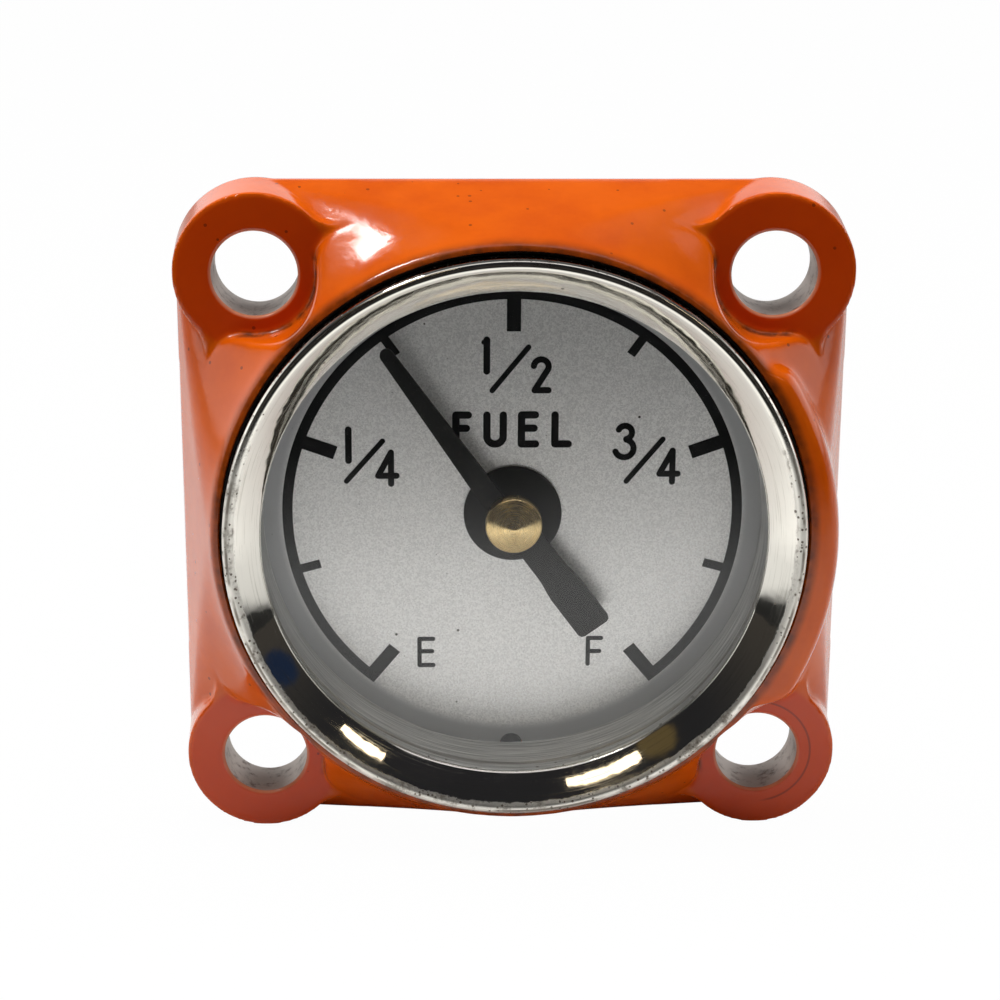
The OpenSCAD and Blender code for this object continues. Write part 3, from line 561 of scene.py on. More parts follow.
# Painted shade: the ears' front faces are painted a darker red, where little light falls on them.
ear_face = times(between(spot["Height"], (ear_h - 0.2, ear_h - 0.05), (ear_h + 0.15, ear_h + 0.05)),
                 fade(hole_gap, 8.2, 7.4))
paint = tint(times(ear_face, 0.8), paint, shaded_ear_red)
in_hole = times(fade(hole_gap, hole_r + 0.12, hole_r + 0.04),
                fade(spot["Height"], ear_h - 0.25, ear_h - 0.5))
lip = times(fade(hole_gap, hole_r + 0.35, hole_r + 0.1), fade(spot["Height"], ear_h - 0.8, ear_h - 0.4))
paint = tint(times(lip, 0.45), paint, thin_paint)
back = fade(spot["Height"], 0.12, 0.02)
bare = most(in_hole, back)
scuffed = noise(place, 1.3, 5.0, 0.7)
stained = times(fade(scuffed, 0.48, 0.75), fade(back, 0.0, 1.0, 1.0, 0.22))
metal = tint(stained, tint(back, zinc, machined), old_stain)
turned_rings = add_node(place.id_data, "TexNoise", {"noise_dimensions": "1D"}, Scale=1.0, Detail=3.0,
                        W=times(spot["Radius"], 5.0)).outputs["Fac"]
peel = reckon("MULTIPLY_ADD", noise(place, 2.6, 2.0, 0.5), 0.7, times(noise(place, 0.7, 3.0, 0.6), 0.3))
peel = reckon("MULTIPLY_ADD", peel, fade(back, 0.0, 1.0, 1.0, 0.0),
              times(turned_rings, fade(back, 0.0, 1.0, 0.0, 0.25)))
wire(shader, Base_Color=tint(bare, tint(darkening, paint, soot_and_shade), metal),
     Roughness=most(uneven(place, 0.09, 0.20), times(bare, 0.45)),
     Metallic=most(times(bare, 0.45), times(back, 0.8)),
     Normal=bump(peel, 0.08, 0.5))
put_up(casting, "gauge_body", "flange_casting", enamel, 40, flat=False)

# Bezel seal
# A black rubber ring between the casting and the bezel. Its flat part carries the bezel, and
# its thin lip fills the gap beside it.

bezel_r = 28.68
fitted_r = 27.0
seal_top_h = 10.4
lip_h = 12.0
seal = turned([
    (fitted_r + 0.03, seal_seat_h), (recess_r - 0.03, seal_seat_h), (recess_r - 0.03, lip_h - 0.12),
    (recess_r - 0.1, lip_h), (bezel_r + 0.1, lip_h), (bezel_r + 0.03, lip_h - 0.12),
    (bezel_r + 0.03, seal_top_h), (fitted_r + 0.03, seal_top_h), (fitted_r + 0.03, seal_seat_h),
])
rubber, shader, place = new_finish("black_rubber", Specular_IOR_Level=0.3)
dusty = fade(noise(place, 0.9, 4.0, 0.65), 0.5, 0.75)
wire(shader,
     Base_Color=tint(dusty, (0.006, 0.006, 0.006), (0.045, 0.035, 0.025)),
     Roughness=uneven(place, 0.5, 0.8),
     Normal=bump(noise(place, 0.3, 3.0), 0.02, 0.6))
put_up(seal, "gauge_body", "bezel_seal", rubber)

# Bezel ring
# Chromed sheet brass, rolled to a crest outside and drawn in like a funnel to a thin rolled
# edge over the lens. The plating is finely scratched, and pitted outside the crest.

sheet = 0.75
crest_r = 0.6
window_r = 25.0
lens_top_h = 11.3
crest_h = 14.35
funnel_bulge = 0.035
bead_r = sheet / 2
crest = (bezel_r - crest_r, crest_h - crest_r)
bead = (window_r + bead_r, lens_top_h + bead_r)
slope = atan2(crest[1] - bead[1], crest[0] - bead[0])
below = (bead[0] + bead_r * sin(slope), bead[1] - bead_r * cos(slope))
inner_r = bezel_r - sheet
profile = [(inner_r, seal_top_h), (bezel_r - 0.1, seal_top_h), (bezel_r, seal_top_h + 0.1)]
profile += [(bezel_r, seal_top_h + 1.2)] + arc(crest, crest_r, 0, 90 + degrees(slope), 14)
start = Vector(profile[-1])
end = Vector((bead[0] - bead_r * sin(slope), bead[1] + bead_r * cos(slope)))
bulge = Vector((-sin(slope), cos(slope))) * funnel_bulge
for i in range(1, 10):
    share = i / 10
    profile.append(tuple(start.lerp(end, share) + bulge * 4 * share * (1 - share)))
profile += arc(bead, bead_r, 90 + degrees(slope), 270 + degrees(slope), 12)
profile += [(inner_r, below[1] + (inner_r - below[0]) * tan(slope)), (inner_r, seal_top_h)]
bezel = turned(profile, 320)


def lathe_marks(across, angle, to_a_mm, to_a_radian, detail=4.0, roughness=0.65):
    """Fine marks that run round a turned piece."""
    run = add_node(angle.id_data, "CombineXYZ", X=times(across, to_a_mm), Y=times(angle, to_a_radian))
    made = add_node(angle.id_data, "TexNoise", {"noise_dimensions": "2D"}, Vector=run.outputs[0],
                    Scale=1.0, Detail=detail, Roughness=roughness)
    return made.outputs["Fac"]


chrome, shader, place = new_finish("worn_chrome", Metallic=1.0)
spot = use_group(about_dial, Place=place)
scratch = fade(lathe_marks(spot["Radius"], spot["Angle"], 9.0, 2.2, 4.0, 0.7), 0.56, 0.66)
wander = noise(place, 1.6, 4.0, 0.65)
level = times(1000.0, axes(place)["Z"])
worn_r = reckon("ADD", spot["Radius"], fade(wander, 0.3, 0.7, -0.08, 0.08))
crust = times(fade(worn_r, 27.35, 27.6), fade(level, 17.0, 4.0))
outside = most(crust, fade(spot["Radius"], 28.35, 28.6))
pits = speckle(place, 2400.0, 0.3, 0.30)
blotch = fade(noise(place, 2.2, 5.0, 0.7), 0.5, 0.68)
tarnish = times(outside, most(times(blotch, 0.7), times(pits, 0.8)))
crest_line = times(between(spot["Radius"], (28.05, 28.2), (28.5, 28.3)),
                   fade(noise(place, 4.0, 4.0), 0.42, 0.6))
inner_pits = speckle(place, 700.0, 0.12, 0.12)
mark = most(tarnish, times(crest_line, 0.7), times(inner_pits, 0.7))
bright = tint(scratch, (0.76, 0.74, 0.68), (0.60, 0.58, 0.52))
bright = tint(crust, bright, (0.82, 0.80, 0.74))
gloss = uneven(place, 0.02, 0.06)
gloss = reckon("MULTIPLY_ADD", crust, 0.34, gloss)
gloss = reckon("MULTIPLY_ADD", scratch, 0.10, reckon("MULTIPLY_ADD", mark, 0.35, gloss))
wire(shader, Base_Color=tint(mark, bright, (0.10, 0.07, 0.045)), Roughness=gloss,
     Normal=bump(reckon("SUBTRACT", noise(place, 3.0, 2.0), times(mark, 0.3)), 0.03, 0.6))
put_up(bezel, "gauge_body", "bezel_ring", chrome)

# Lens
# A flat disc of clear moulded plastic with a bevel round both faces, held between the bezel
# and the spacer ring.

lens_low_h = 9.5
bevel = 0.3
lens = turned([
    (0, lens_low_h), (fitted_r - bevel, lens_low_h), (fitted_r, lens_low_h + bevel),
    (fitted_r, lens_top_h - bevel), (fitted_r - bevel, lens_top_h), (0, lens_top_h),
], 192)


def either(share, first, second):
    """Give a material its surface from two shaders by a share."""
    tree = share.id_data
    blend = tree.nodes.new("ShaderNodeMixShader")
    for socket, output in zip(blend.inputs, (share, first, second)):
        feed(socket, output)
    feed(tree.nodes["Material Output"].inputs["Surface"], blend.outputs[0])


clear, shader, place = new_finish(
    "clear_lens", Base_Color=(1, 1, 1), Transmission_Weight=1.0, IOR=1.37, Metallic=0.0)
wire(shader, Roughness=fade(noise(place, 5.0, 4.0), 0.3, 0.8, 0.0, 0.03))
see_through = add_node(place.id_data, "BsdfTransparent", Color=(0.97, 0.98, 0.97))
rays = add_node(place.id_data, "LightPath").outputs
either(rays["Is Shadow Ray"], shader.outputs[0], see_through.outputs[0])
put_up(lens, "gauge_body", "lens", clear)

# Spacer ring
# A turned ring of satin metal that keeps the lens off the dial, with a groove near its top.

dial_h = 3.28
spacer_r = 25.6
groove_h = 7.9
spacer_foot_r = 25.2
spacer = turned([
    (spacer_foot_r, dial_h + 0.15), (spacer_foot_r + 0.1, dial_h), (fitted_r, dial_h),
    (fitted_r, lens_low_h), (spacer_r + 0.12, lens_low_h), (spacer_r, lens_low_h - 0.12),
    (spacer_r, groove_h + 0.3), (spacer_r + 0.25, groove_h + 0.1), (spacer_r + 0.25, groove_h - 0.1),
    (spacer_r, groove_h - 0.3), (spacer_foot_r + 0.1, dial_h + 0.4), (spacer_foot_r, dial_h + 0.15),
])
satin, shader, place = new_finish("satin_metal", Metallic=0.6)
spot = use_group(about_dial, Place=place)
turning = lathe_marks(spot["Height"], spot["Angle"], 7.0, 3.0, 3.0, 0.6)
dust = times(speckle(place, 1600.0, 0.28, 0.3), fade(spot["Height"], 8.2, 8.8))
# Painted shade: the groove is painted dark, and real dust specks darken the ring above it.
in_groove = between(spot["Height"], (groove_h - 0.45, groove_h - 0.2),
                    (groove_h + 0.45, groove_h + 0.2))
dust_and_groove_shade = most(times(dust, 0.6), times(in_groove, 0.55))
bright = tint(fade(turning, 0.3, 0.7), (0.48, 0.48, 0.47), (0.95, 0.95, 0.93))
wire(shader, Base_Color=tint(dust_and_groove_shade, bright, (0.12, 0.09, 0.06)),
     Roughness=uneven(place, 0.3, 0.45),
     Normal=bump(turning, 0.03, 0.5))
put_up(spacer, "gauge_body", "spacer_ring", satin)

# Dial plate
# A flat disc of silvered metal with a fine sandy face. Its middle hole takes the bush, and a
# small one at the bottom takes the locating pin.

dial_low_h = 2.78
shank_r = 2.2
pin_at = 25.4
pin_r = 1.1
plate = turned([
    (shank_r, dial_low_h), (fitted_r, dial_low_h), (fitted_r, dial_h), (shank_r, dial_h),
    (shank_r, dial_low_h),
], 192)
pin_hole = turned([(0, 0), (pin_r + 0.05, 0), (pin_r + 0.05, 2 * dial_h), (0, 2 * dial_h)], 48)
combine(plate, moved_copy(pin_hole, Matrix.Translation((0, -pin_at, 0))), "DIFFERENCE")
bpy.data.objects.remove(pin_hole)
silver, shader, place = new_finish("silvered_face", Metallic=0.7)
spot = use_group(about_dial, Place=place)
grain = add_node(place.id_data, "TexVoronoi", Vector=place, Scale=7000.0).outputs["Color"]
grain = add_node(place.id_data, "SeparateColor", Color=grain).outputs["Green"]
mottle = noise(place, 0.45, 4.0, 0.75)
sandy = reckon("MULTIPLY_ADD", grain, 0.35, times(mottle, 0.65))
spots = speckle(place, 330.0, 0.045, 0.25)
dots = speckle(place, 900.0, 0.06, 0.10)
spots = most(spots, times(dots, 0.55))
face = tint(fade(sandy, 0.28, 0.72), (0.75, 0.75, 0.74), (1.0, 1.0, 0.985))
# Painted shade: outside the printed arc the dial is painted darker, as shade from the spacer ring.
face = tint(fade(spot["Radius"], 22.7, 24.0), face, (0.50, 0.51, 0.52))
wire(shader, Base_Color=tint(spots, face, (0.05, 0.045, 0.04)),
     Roughness=fade(mottle, 0.3, 0.7, 0.38, 0.46),
     Normal=bump(sandy, 0.012, 0.6))
put_up(plate, "gauge_body", "dial_plate", silver)

# Dial scale
# Black ink printed on the dial: an arc with nine ticks, the word FUEL, three fractions, and
# E and F at the two ends.

ink_h = 3.34
half_sweep = 140.6
arc_low_r = 22.27
arc_high_r = 23.3
arc_mid_r = (arc_low_r + arc_high_r) / 2
long_w = 1.4
short_w = 0.9
past = degrees(asin(long_w / 2 / arc_high_r))
scale = swept([
    (arc_low_r, dial_h), (arc_high_r, dial_h), (arc_high_r, ink_h), (arc_low_r, ink_h),
], 90 - half_sweep - past, 90 + half_sweep + past, 240)


def stroke(points, width):
    """Print a line along points, with round ends and mitred corners."""
    half = width / 2
    spots = [Vector(p) for p in points]
    heads = [(b - a).normalized() for a, b in zip(spots, spots[1:])]
    left = []
    right = []
    for at, came, goes in zip(spots[1:-1], heads, heads[1:]):
        across = Vector((-came.y - goes.y, came.x + goes.x)).normalized()
        reach = half / max(0.4, across.dot(Vector((-came.y, came.x))))
        left.append(at + reach * across)
        right.append(at - reach * across)
    first = degrees(atan2(heads[0].y, heads[0].x))
    last = degrees(atan2(heads[-1].y, heads[-1].x))
    outline = arc(points[0], half, first + 90, first + 270, 8) + right
    outline += arc(points[-1], half, last - 90, last + 90, 8) + left[::-1]
    combine(scale, cut_block(outline, dial_h, ink_h))


for i in range(9):
    tick_w, low_r = (long_w, 18.98) if i % 2 == 0 else (short_w, 20.27)
    tick = cut_block([
        (-tick_w / 2, low_r), (tick_w / 2, low_r), (tick_w / 2, arc_mid_r), (-tick_w / 2, arc_mid_r),
    ], dial_h, ink_h)
    tick.data.transform(Matrix.Rotation(radians(half_sweep * (i / 4 - 1)), 4, "Z"))
    combine(scale, tick)


def letter(stem_x, low, high, width, bars):
    """Print an upright stem with bars to the right. A bar is its height and its end."""
    stroke([(stem_x, low), (stem_x, high)], width)
    for bar_y, end_x in bars:
        stroke([(stem_x, bar_y), (end_x, bar_y)], width)


def fraction(numerator_x, top, slash_low, slash_high, width):
    """Print the bar of a one, where there is one, and the slash of a fraction."""
    if numerator_x is not None:
        stroke([(numerator_x, top - 3.25), (numerator_x, top)], width + 0.05)
    stroke([slash_low, slash_high], width - 0.08)


def figure_four(stem_x, low, width):
    """Print a four from its stem's place and its foot's height."""
    top = low + 3.3
    cross = low + 0.85
    stroke([(stem_x, low), (stem_x, top)], width)
    stroke([(stem_x, top), (stem_x - 1.3, cross)], width)
    stroke([(stem_x - 1.3, cross), (stem_x + 0.55, cross)], width)


word_w = 0.74
figure_w = 0.62
end_w = 0.44
word_low = 7.29
word_high = 10.33
word_mid = 8.95
letter(-5.75, word_low, word_high, word_w, [(word_high, -4.5), (word_mid, -4.7)])
bowl_x = -1.82
bowl_r = 0.82
stroke([(bowl_x - bowl_r, word_high), (bowl_x - bowl_r, word_low + bowl_r)]
       + arc((bowl_x, word_low + bowl_r), bowl_r, 190, 350, 12)
       + [(bowl_x + bowl_r, word_low + bowl_r), (bowl_x + bowl_r, word_high)], word_w)
letter(0.83, word_low, word_high, word_w, [(word_high, 2.22), (word_mid, 2.1), (word_low, 2.26)])
letter(4.19, word_low, word_high, word_w, [(word_low, 5.55)])
letter(-9.5, -16.58, -13.7, end_w, [(-13.68, -8.09), (-15.05, -8.2), (-16.58, -8.07)])
letter(7.87, -16.5, -13.65, end_w, [(-13.65, 9.22), (-15.1, 9.05)])
fraction(-2.68, 18.12, (-2.13, 12.88), (1.47, 17.36), figure_w)
fraction(-16.54, 8.83, (-16.77, 3.41), (-13.12, 7.62), figure_w)
fraction(None, 0, (11.46, 3.33), (15.08, 7.77), figure_w)
figure_four(-12.28, 3.12, figure_w)
figure_four(16.1, 3.26, figure_w)
stroke(arc((2.75, 15.35), 0.74, 175, -20, 12) + [(2.1, 12.9)], figure_w)
stroke([(2.1, 12.9), (3.5, 12.9)], figure_w)
stroke([(-2.72, 18.1), (-2.98, 17.86)], 0.5)
stroke(arc((11.25, 8.48), 0.7, 155, -80, 12), figure_w)
stroke(arc((11.2, 6.8), 0.94, 78, -160, 16), figure_w)
ink, shader, place = new_finish("printing_ink", Specular_IOR_Level=0.15)
thin = fade(noise(place, 0.5, 4.0, 0.7), 0.6, 0.8)
wire(shader, Base_Color=tint(thin, (0.009, 0.009, 0.010), (0.035, 0.035, 0.035)),
     Roughness=uneven(place, 0.5, 0.65),
     Normal=bump(noise(place, 0.15, 2.0), 0.01, 0.6))
put_up(scale, "gauge_body", "dial_scale", ink)

# Dial pin
# A short pin pressed into the casting, which keeps the dial from turning. The spacer ring
# hides half of it.

pin_low_h = 0.58
pin = turned([
    (0, pin_low_h), (pin_r - 0.1, pin_low_h), (pin_r, pin_low_h + 0.1), (pin_r, dial_h - 0.2),
    (pin_r - 0.04, dial_h - 0.1), (pin_r - 0.14, dial_h - 0.05), (0, dial_h - 0.05),
], 64)
pin.data.transform(Matrix.Translation((0, -pin_at, 0)))
blued, shader, place = new_finish("blackened_pin", Metallic=0.6)
worn = fade(noise(place, 0.25, 4.0, 0.7), 0.5, 0.75)
wire(shader, Base_Color=tint(worn, (0.035, 0.035, 0.038), (0.12, 0.11, 0.10)),
     Roughness=uneven(place, 0.35, 0.6),
     Normal=bump(worn, 0.01, 0.5))
put_up(pin, "gauge_body", "dial_pin", blued)

# Dial bush
# A flanged black bush pressed through the dial's middle. The pointer's spindle turns in it.

disc_r = 4.96
disc_h = 3.75
bore_r = 0.65
bush = turned([
    (bore_r, dial_low_h - 0.6), (shank_r - 0.1, dial_low_h - 0.6), (shank_r, dial_low_h - 0.5),
    (shank_r, dial_h), (disc_r - 0.04, dial_h), (disc_r, dial_h + 0.05), (disc_r, disc_h - 0.1),
    (disc_r - 0.03, disc_h - 0.03), (disc_r - 0.1, disc_h), (bore_r + 0.1, disc_h),
    (bore_r, disc_h - 0.1), (bore_r, dial_low_h - 0.6),
], 160)
black, shader, place = new_finish("matt_black", Specular_IOR_Level=0.25)
spot = use_group(about_dial, Place=place)
dusty = fade(noise(place, 0.7, 5.0, 0.7), 0.52, 0.8)
grit = speckle(place, 1500.0, 0.16, 0.06)
dusty = most(dusty, times(grit, 0.3))
wire(shader, Base_Color=tint(dusty, (0.015, 0.015, 0.015), (0.04, 0.038, 0.035)),
     Roughness=uneven(place, 0.42, 0.6),
     Normal=bump(noise(place, 1.5, 0.5), 0.003, 0.4))
put_up(bush, "gauge_body", "dial_bush", black)

# Pointer
# A flat blade of sheet metal with a wide tail, painted matt black. The collar and the cap
# clamp it on the spindle.

rest = 36.2
blade_low_h = 5.6
blade_h = 6.1
reach = 22.0
tail = 14.35
tip_r = 0.68
waist = 1.55
flare = 1.85
left_side = [
    (-waist, 3.03), (-waist, -6.5), (-waist - 0.05, -7.2), (-waist - 0.2, -8.2), (-flare, -9.2),
    (-flare, 0.5 - tail), (-flare + 0.15, 0.15 - tail), (0.5 - flare, -tail),
]
right_side = [(0.75, 3.03), (waist, -2.6)] + [(-x, y) for x, y in left_side[1:]]
pointer = cut_block(arc((0, reach - tip_r), tip_r, 0, 180, 12) + left_side
                    + right_side[::-1], blade_low_h, blade_h)
pointer.data.transform(Matrix.Rotation(radians(rest), 4, "Z"))
spindle_r = 0.6
eye = turned([(0, 0), (spindle_r, 0), (spindle_r, rim_h), (0, rim_h)], 48)
combine(pointer, eye, "DIFFERENCE")
soften(pointer, 0.07, 2, 50)
put_up(pointer, "pointer_group", "pointer", black)

# Pointer cap
# A small brass cap, turned to a shallow cone with the lathe's rings still on it.

cap_r = 2.835
cap_side_h = 7.59
cap_tip_h = 8.91
cap = turned([
    (spindle_r, blade_h), (cap_r - 0.08, blade_h), (cap_r, blade_h + 0.08), (cap_r, cap_side_h - 0.1),
    (cap_r - 0.04, cap_side_h - 0.02), (cap_r - 0.12, cap_side_h + 0.04), (0.25, cap_tip_h - 0.08),
    (0.12, cap_tip_h - 0.02), (0, cap_tip_h), (0, cap_side_h - 0.1), (spindle_r, cap_side_h - 0.1),
    (spindle_r, blade_h),
], 128)
brass, shader, place = new_finish("turned_brass", Metallic=1.0)
spot = use_group(about_dial, Place=place)
lathe = lathe_marks(spot["Radius"], spot["Angle"], 11.0, 0.8)
aged = fade(noise(place, 0.8, 4.0, 0.65), 0.45, 0.75)
old = tint(aged, (0.86, 0.64, 0.30), (0.60, 0.42, 0.19))
wire(shader, Base_Color=tint(fade(lathe, 0.35, 0.65), old, (0.80, 0.63, 0.34)),
     Roughness=fade(lathe, 0.3, 0.7, 0.20, 0.30),
     Normal=bump(lathe, 0.012, 0.6))
put_up(cap, "pointer_group", "pointer_cap", brass)

# Pointer spindle, its collar and its jewel
# A thin ground spindle. It turns in the bush and in a pierced jewel at the bottom of the well,
# and a steel collar on it carries the pointer.


def worked_metal(name, light, dark, low, high, grain=0.6, metallic=1.0, depth=0.01):
    """A machined or plated metal with stains, fine grain and a few dark specks."""
    made, shader, place = new_finish(name, Metallic=metallic)
    stain = fade(noise(place, 4.0, 5.0, 0.65), 0.45, 0.8)
    fine = noise(place, grain, 4.0, 0.7)
    darkening = speckle(place, 1200.0, 0.14, 0.15)
    mixed = most(times(stain, 0.8), times(darkening, 0.7))
    mixed = most(mixed, fade(fine, 0.5, 0.9, 0.0, 0.7))
    wire(shader, Base_Color=tint(mixed, light, dark),
         Roughness=uneven(place, low, high),
         Normal=bump(fine, depth, 0.6))
    return made


def ring(inner, outer, low, high, edge=0.1, steps=96):
    """A turned ring with its four edges broken."""
    return turned([
        (inner, low + edge), (inner + edge, low), (outer - edge, low), (outer, low + edge),
        (outer, high - edge), (outer - edge, high), (inner + edge, high), (inner, high - edge),
        (inner, low + edge),
    ], steps)


steel = worked_metal("ground_steel", (0.62, 0.62, 0.63), (0.30, 0.28, 0.26), 0.18, 0.34, 0.3)
magnet = worked_metal("sintered_magnet", (0.16, 0.16, 0.17), (0.06, 0.055, 0.05), 0.4, 0.65,
                      0.25, 0.7, 0.03)
spindle_low = -2.15
spindle_top = cap_side_h - 0.1
spindle = turned([
    (0, spindle_low), (0.12, spindle_low + 0.05), (spindle_r, spindle_low + 0.8),
    (spindle_r, spindle_top - 0.15), (spindle_r - 0.15, spindle_top), (0, spindle_top),
], 64)
put_up(spindle, "pointer_group", "pointer_spindle", steel)
collar = turned([
    (spindle_r, disc_h + 0.3), (1.25, disc_h + 0.3), (1.4, disc_h + 0.45), (1.4, 4.75), (1.3, 4.85),
    (1.3, 5.0), (1.4, 5.1), (1.4, blade_low_h - 0.12), (1.28, blade_low_h), (spindle_r, blade_low_h),
    (spindle_r, disc_h + 0.3),
], 64)
put_up(collar, "pointer_group", "pointer_collar", steel)
jewel = turned([
    (0, -2.7), (1.15, -2.7), (1.25, -2.6), (1.25, -1.7), (1.15, well_h), (0.95, well_h),
    (bore_r, -1.9), (bore_r, -2.25), (0, -2.25),
], 64)
pierced = worked_metal("bearing_brass", (0.70, 0.52, 0.24), (0.36, 0.24, 0.11), 0.25, 0.4, 0.3)
put_up(jewel, "gauge_body", "spindle_jewel", pierced)

# Magnets
# Two sintered magnets that face each other through the closed wall. The front one is on the
# pointer's spindle, and the rear one sits in a brass cup on the drive shaft.

magnet_r = 5.5
shaft_r = 1.5
front_magnet = ring(spindle_r, magnet_r, -1.0, 1.4, 0.2, 128)
put_up(front_magnet, "pointer_group", "driven_magnet", magnet)
rear_magnet = ring(shaft_r, magnet_r, -6.3, -3.9, 0.2, 128)
put_up(rear_magnet, "drive_group", "drive_magnet", magnet)
cup_r = 6.3
cup_hub_r = 2.6
cup = turned([
    (shaft_r, -7.4), (cup_hub_r - 0.15, -7.4), (cup_hub_r, -7.25), (cup_hub_r, -7.1),
    (cup_r - 0.5, -7.1), (cup_r - 0.15, -6.95), (cup_r, -6.6), (cup_r, -5.4),
    (cup_r - 0.1, -5.3), (magnet_r + 0.1, -5.3), (magnet_r, -5.4), (magnet_r, -6.3),
    (shaft_r, -6.3), (shaft_r, -7.4),
], 160)
put_up(cup, "drive_group", "magnet_cup", brass)

# Drive shaft with its pinion, bush and thrust washer
# A ground shaft in an oiled bronze bush. A bevel pinion of brass is pressed on its rear end,
# and the washer runs against the bush.


def from_solid(node, width, segments=2, angle=25, gap=0.000002):
    """A copy of a CAD node with its own mesh, merged, and with its edges rounded."""
    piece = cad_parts[node].copy()
    piece.data = piece.data.copy()
    piece.hide_render = False
    bpy.context.collection.objects.link(piece)
    piece.parent = None
    piece.matrix_world = AS_IS
    edit(piece)
    close_mesh(gap)
    soften(piece, width / 1000, segments, angle)
    return piece


shaft_back = -17.7
shaft_front = -4.0
shaft = turned([
    (0, shaft_back), (1.2, shaft_back), (shaft_r, shaft_back + 0.3), (shaft_r, shaft_front - 0.2),
    (1.3, shaft_front), (0, shaft_front),
], 96)
put_up(shaft, "drive_group", "drive_shaft", steel)
washer = ring(shaft_r, 3.2, -13.3, -12.9, 0.08)
put_up(washer, "drive_group", "thrust_washer", steel)
bush_r = 2.6
rear_bush = ring(shaft_r + 0.05, bush_r, -12.8, -7.5, 0.2)
bronze = worked_metal("sintered_bronze", (0.50, 0.29, 0.12), (0.16, 0.09, 0.045), 0.35, 0.6,
                      0.2, 0.9, 0.02)
put_up(rear_bush, "gauge_body", "shaft_bush", bronze)
pinion = from_solid("pinion", 0.06)
put_up(pinion, "drive_group", "pinion", brass, 30, AS_IS)

# Bracket
# A folded strap of zinc-plated steel behind the spigot, held by two cheese-head screws. Its
# two arms carry the pivot and the travel stops.

plated = worked_metal("zinc_plating", (0.55, 0.56, 0.57), (0.33, 0.32, 0.29), 0.28, 0.48, 0.9)
bracket = from_solid("movement_bracket", 0.18, 3)
put_up(bracket, "gauge_body", "movement_bracket", plated, 30, AS_IS)

screw_at = 14.6
screw_r = 1.42
screw_end = -4.4
head_r = 2.5
plate_back = -10.0
head_back = -11.8
slot_half = 0.3
screw = turned([
    (0, head_back), (head_r - 0.7, head_back), (head_r - 0.15, head_back + 0.3),
    (head_r, head_back + 0.6), (head_r, plate_back), (screw_r, plate_back),
    (screw_r, screw_end - 0.4), (1.1, screw_end), (0, screw_end),
], 72)
slot_cut = cut_block([
    (-4, -slot_half), (4, -slot_half), (4, slot_half), (-4, slot_half),
], head_back - 1, head_back + 0.9)
combine(screw, slot_cut, "DIFFERENCE")
screws = joined(*[
    moved_copy(screw, Matrix.Translation((0, y, 0)) @ Matrix.Rotation(radians(turn), 4, "Z"))
    for y, turn in ((screw_at, 0), (-screw_at, 35))
])
bpy.data.objects.remove(screw)
put_up(screws, "gauge_body", "bracket_screws", steel)
screws.name = "bracket_screws_piece.001"

# Pivot pin, its clip and washers, and the travel stops
# A headed pin through both arms, kept by a clip in a groove, with a washer beside each arm.
# Four plain pins in the arms stop the swing.

pivot_h = -27.28
PIVOT = (UPRIGHT @ Matrix.Translation((0, 0, pivot_h)) @ Matrix.Rotation(pi, 4, "X")
         @ Matrix.Rotation(pi / 2, 4, "Y"))
arm_out = 10.2
pivot_r = 2.0
groove_r = 1.6
clip_high = arm_out + 0.6
pin_end = 11.8
pivot = turned([
    (0, -arm_out - 1), (2.7, -arm_out - 1), (3.0, -arm_out - 0.85), (3.1, -arm_out - 0.6),
    (3.1, -arm_out), (pivot_r, -arm_out), (pivot_r, arm_out), (groove_r, arm_out),
    (groove_r, clip_high), (pivot_r, clip_high), (pivot_r, pin_end - 0.3),
    (pivot_r - 0.3, pin_end), (0, pin_end),
], 96)
put_up(pivot, "gauge_body", "pivot_pin", steel, place=PIVOT)
dark_steel = worked_metal("spring_steel", (0.17, 0.17, 0.18), (0.07, 0.06, 0.055), 0.3, 0.5, 0.4)
clip_r = 3.2
clip = cut_block(arc((0, 0), clip_r, 24, 336, 48) + arc((0, 0), groove_r, 305.7, 54.3, 24),
                 arm_out, clip_high)
soften(clip, 0.08, 2, 50)
put_up(clip, "gauge_body", "pivot_clip", dark_steel, place=PIVOT)
washer_in = 7.5
washer_out = 8.1
washers = joined(ring(pivot_r + 0.05, 4.0, washer_in, washer_out),
                 ring(pivot_r + 0.05, 4.0, -washer_out, -washer_in))
put_up(washers, "gauge_body", "pivot_washers", steel, place=PIVOT)
stop_r = 1.0
stop_low = 4.4
stop_at = 11.2
stop_turn = 113.65
stop = turned([
    (0, stop_low), (stop_r - 0.35, stop_low), (stop_r - 0.1, stop_low + 0.12),
    (stop_r, stop_low + 0.35), (stop_r, arm_out - 0.12), (stop_r - 0.12, arm_out), (0, arm_out),
], 64)


def round_pivot(piece, at, turns):
    """Copies of a piece at a distance from the pivot and at several angles, as one piece."""
    copies = joined(*[
        moved_copy(piece, Matrix.Rotation(radians(turn), 4, "Z") @ Matrix.Translation((at, 0, 0)))
        for turn in turns
    ])
    bpy.data.objects.remove(piece)
    return copies


stops = round_pivot(stop, stop_at, (stop_turn, -stop_turn))
put_up(stops, "gauge_body", "travel_stops", steel, place=PIVOT)

# Sector gear and float arm hub
# A brass bevel sector is riveted to a cast hub, and both swing on the pivot. The hub's socket
# takes the float rod, which a set screw holds.

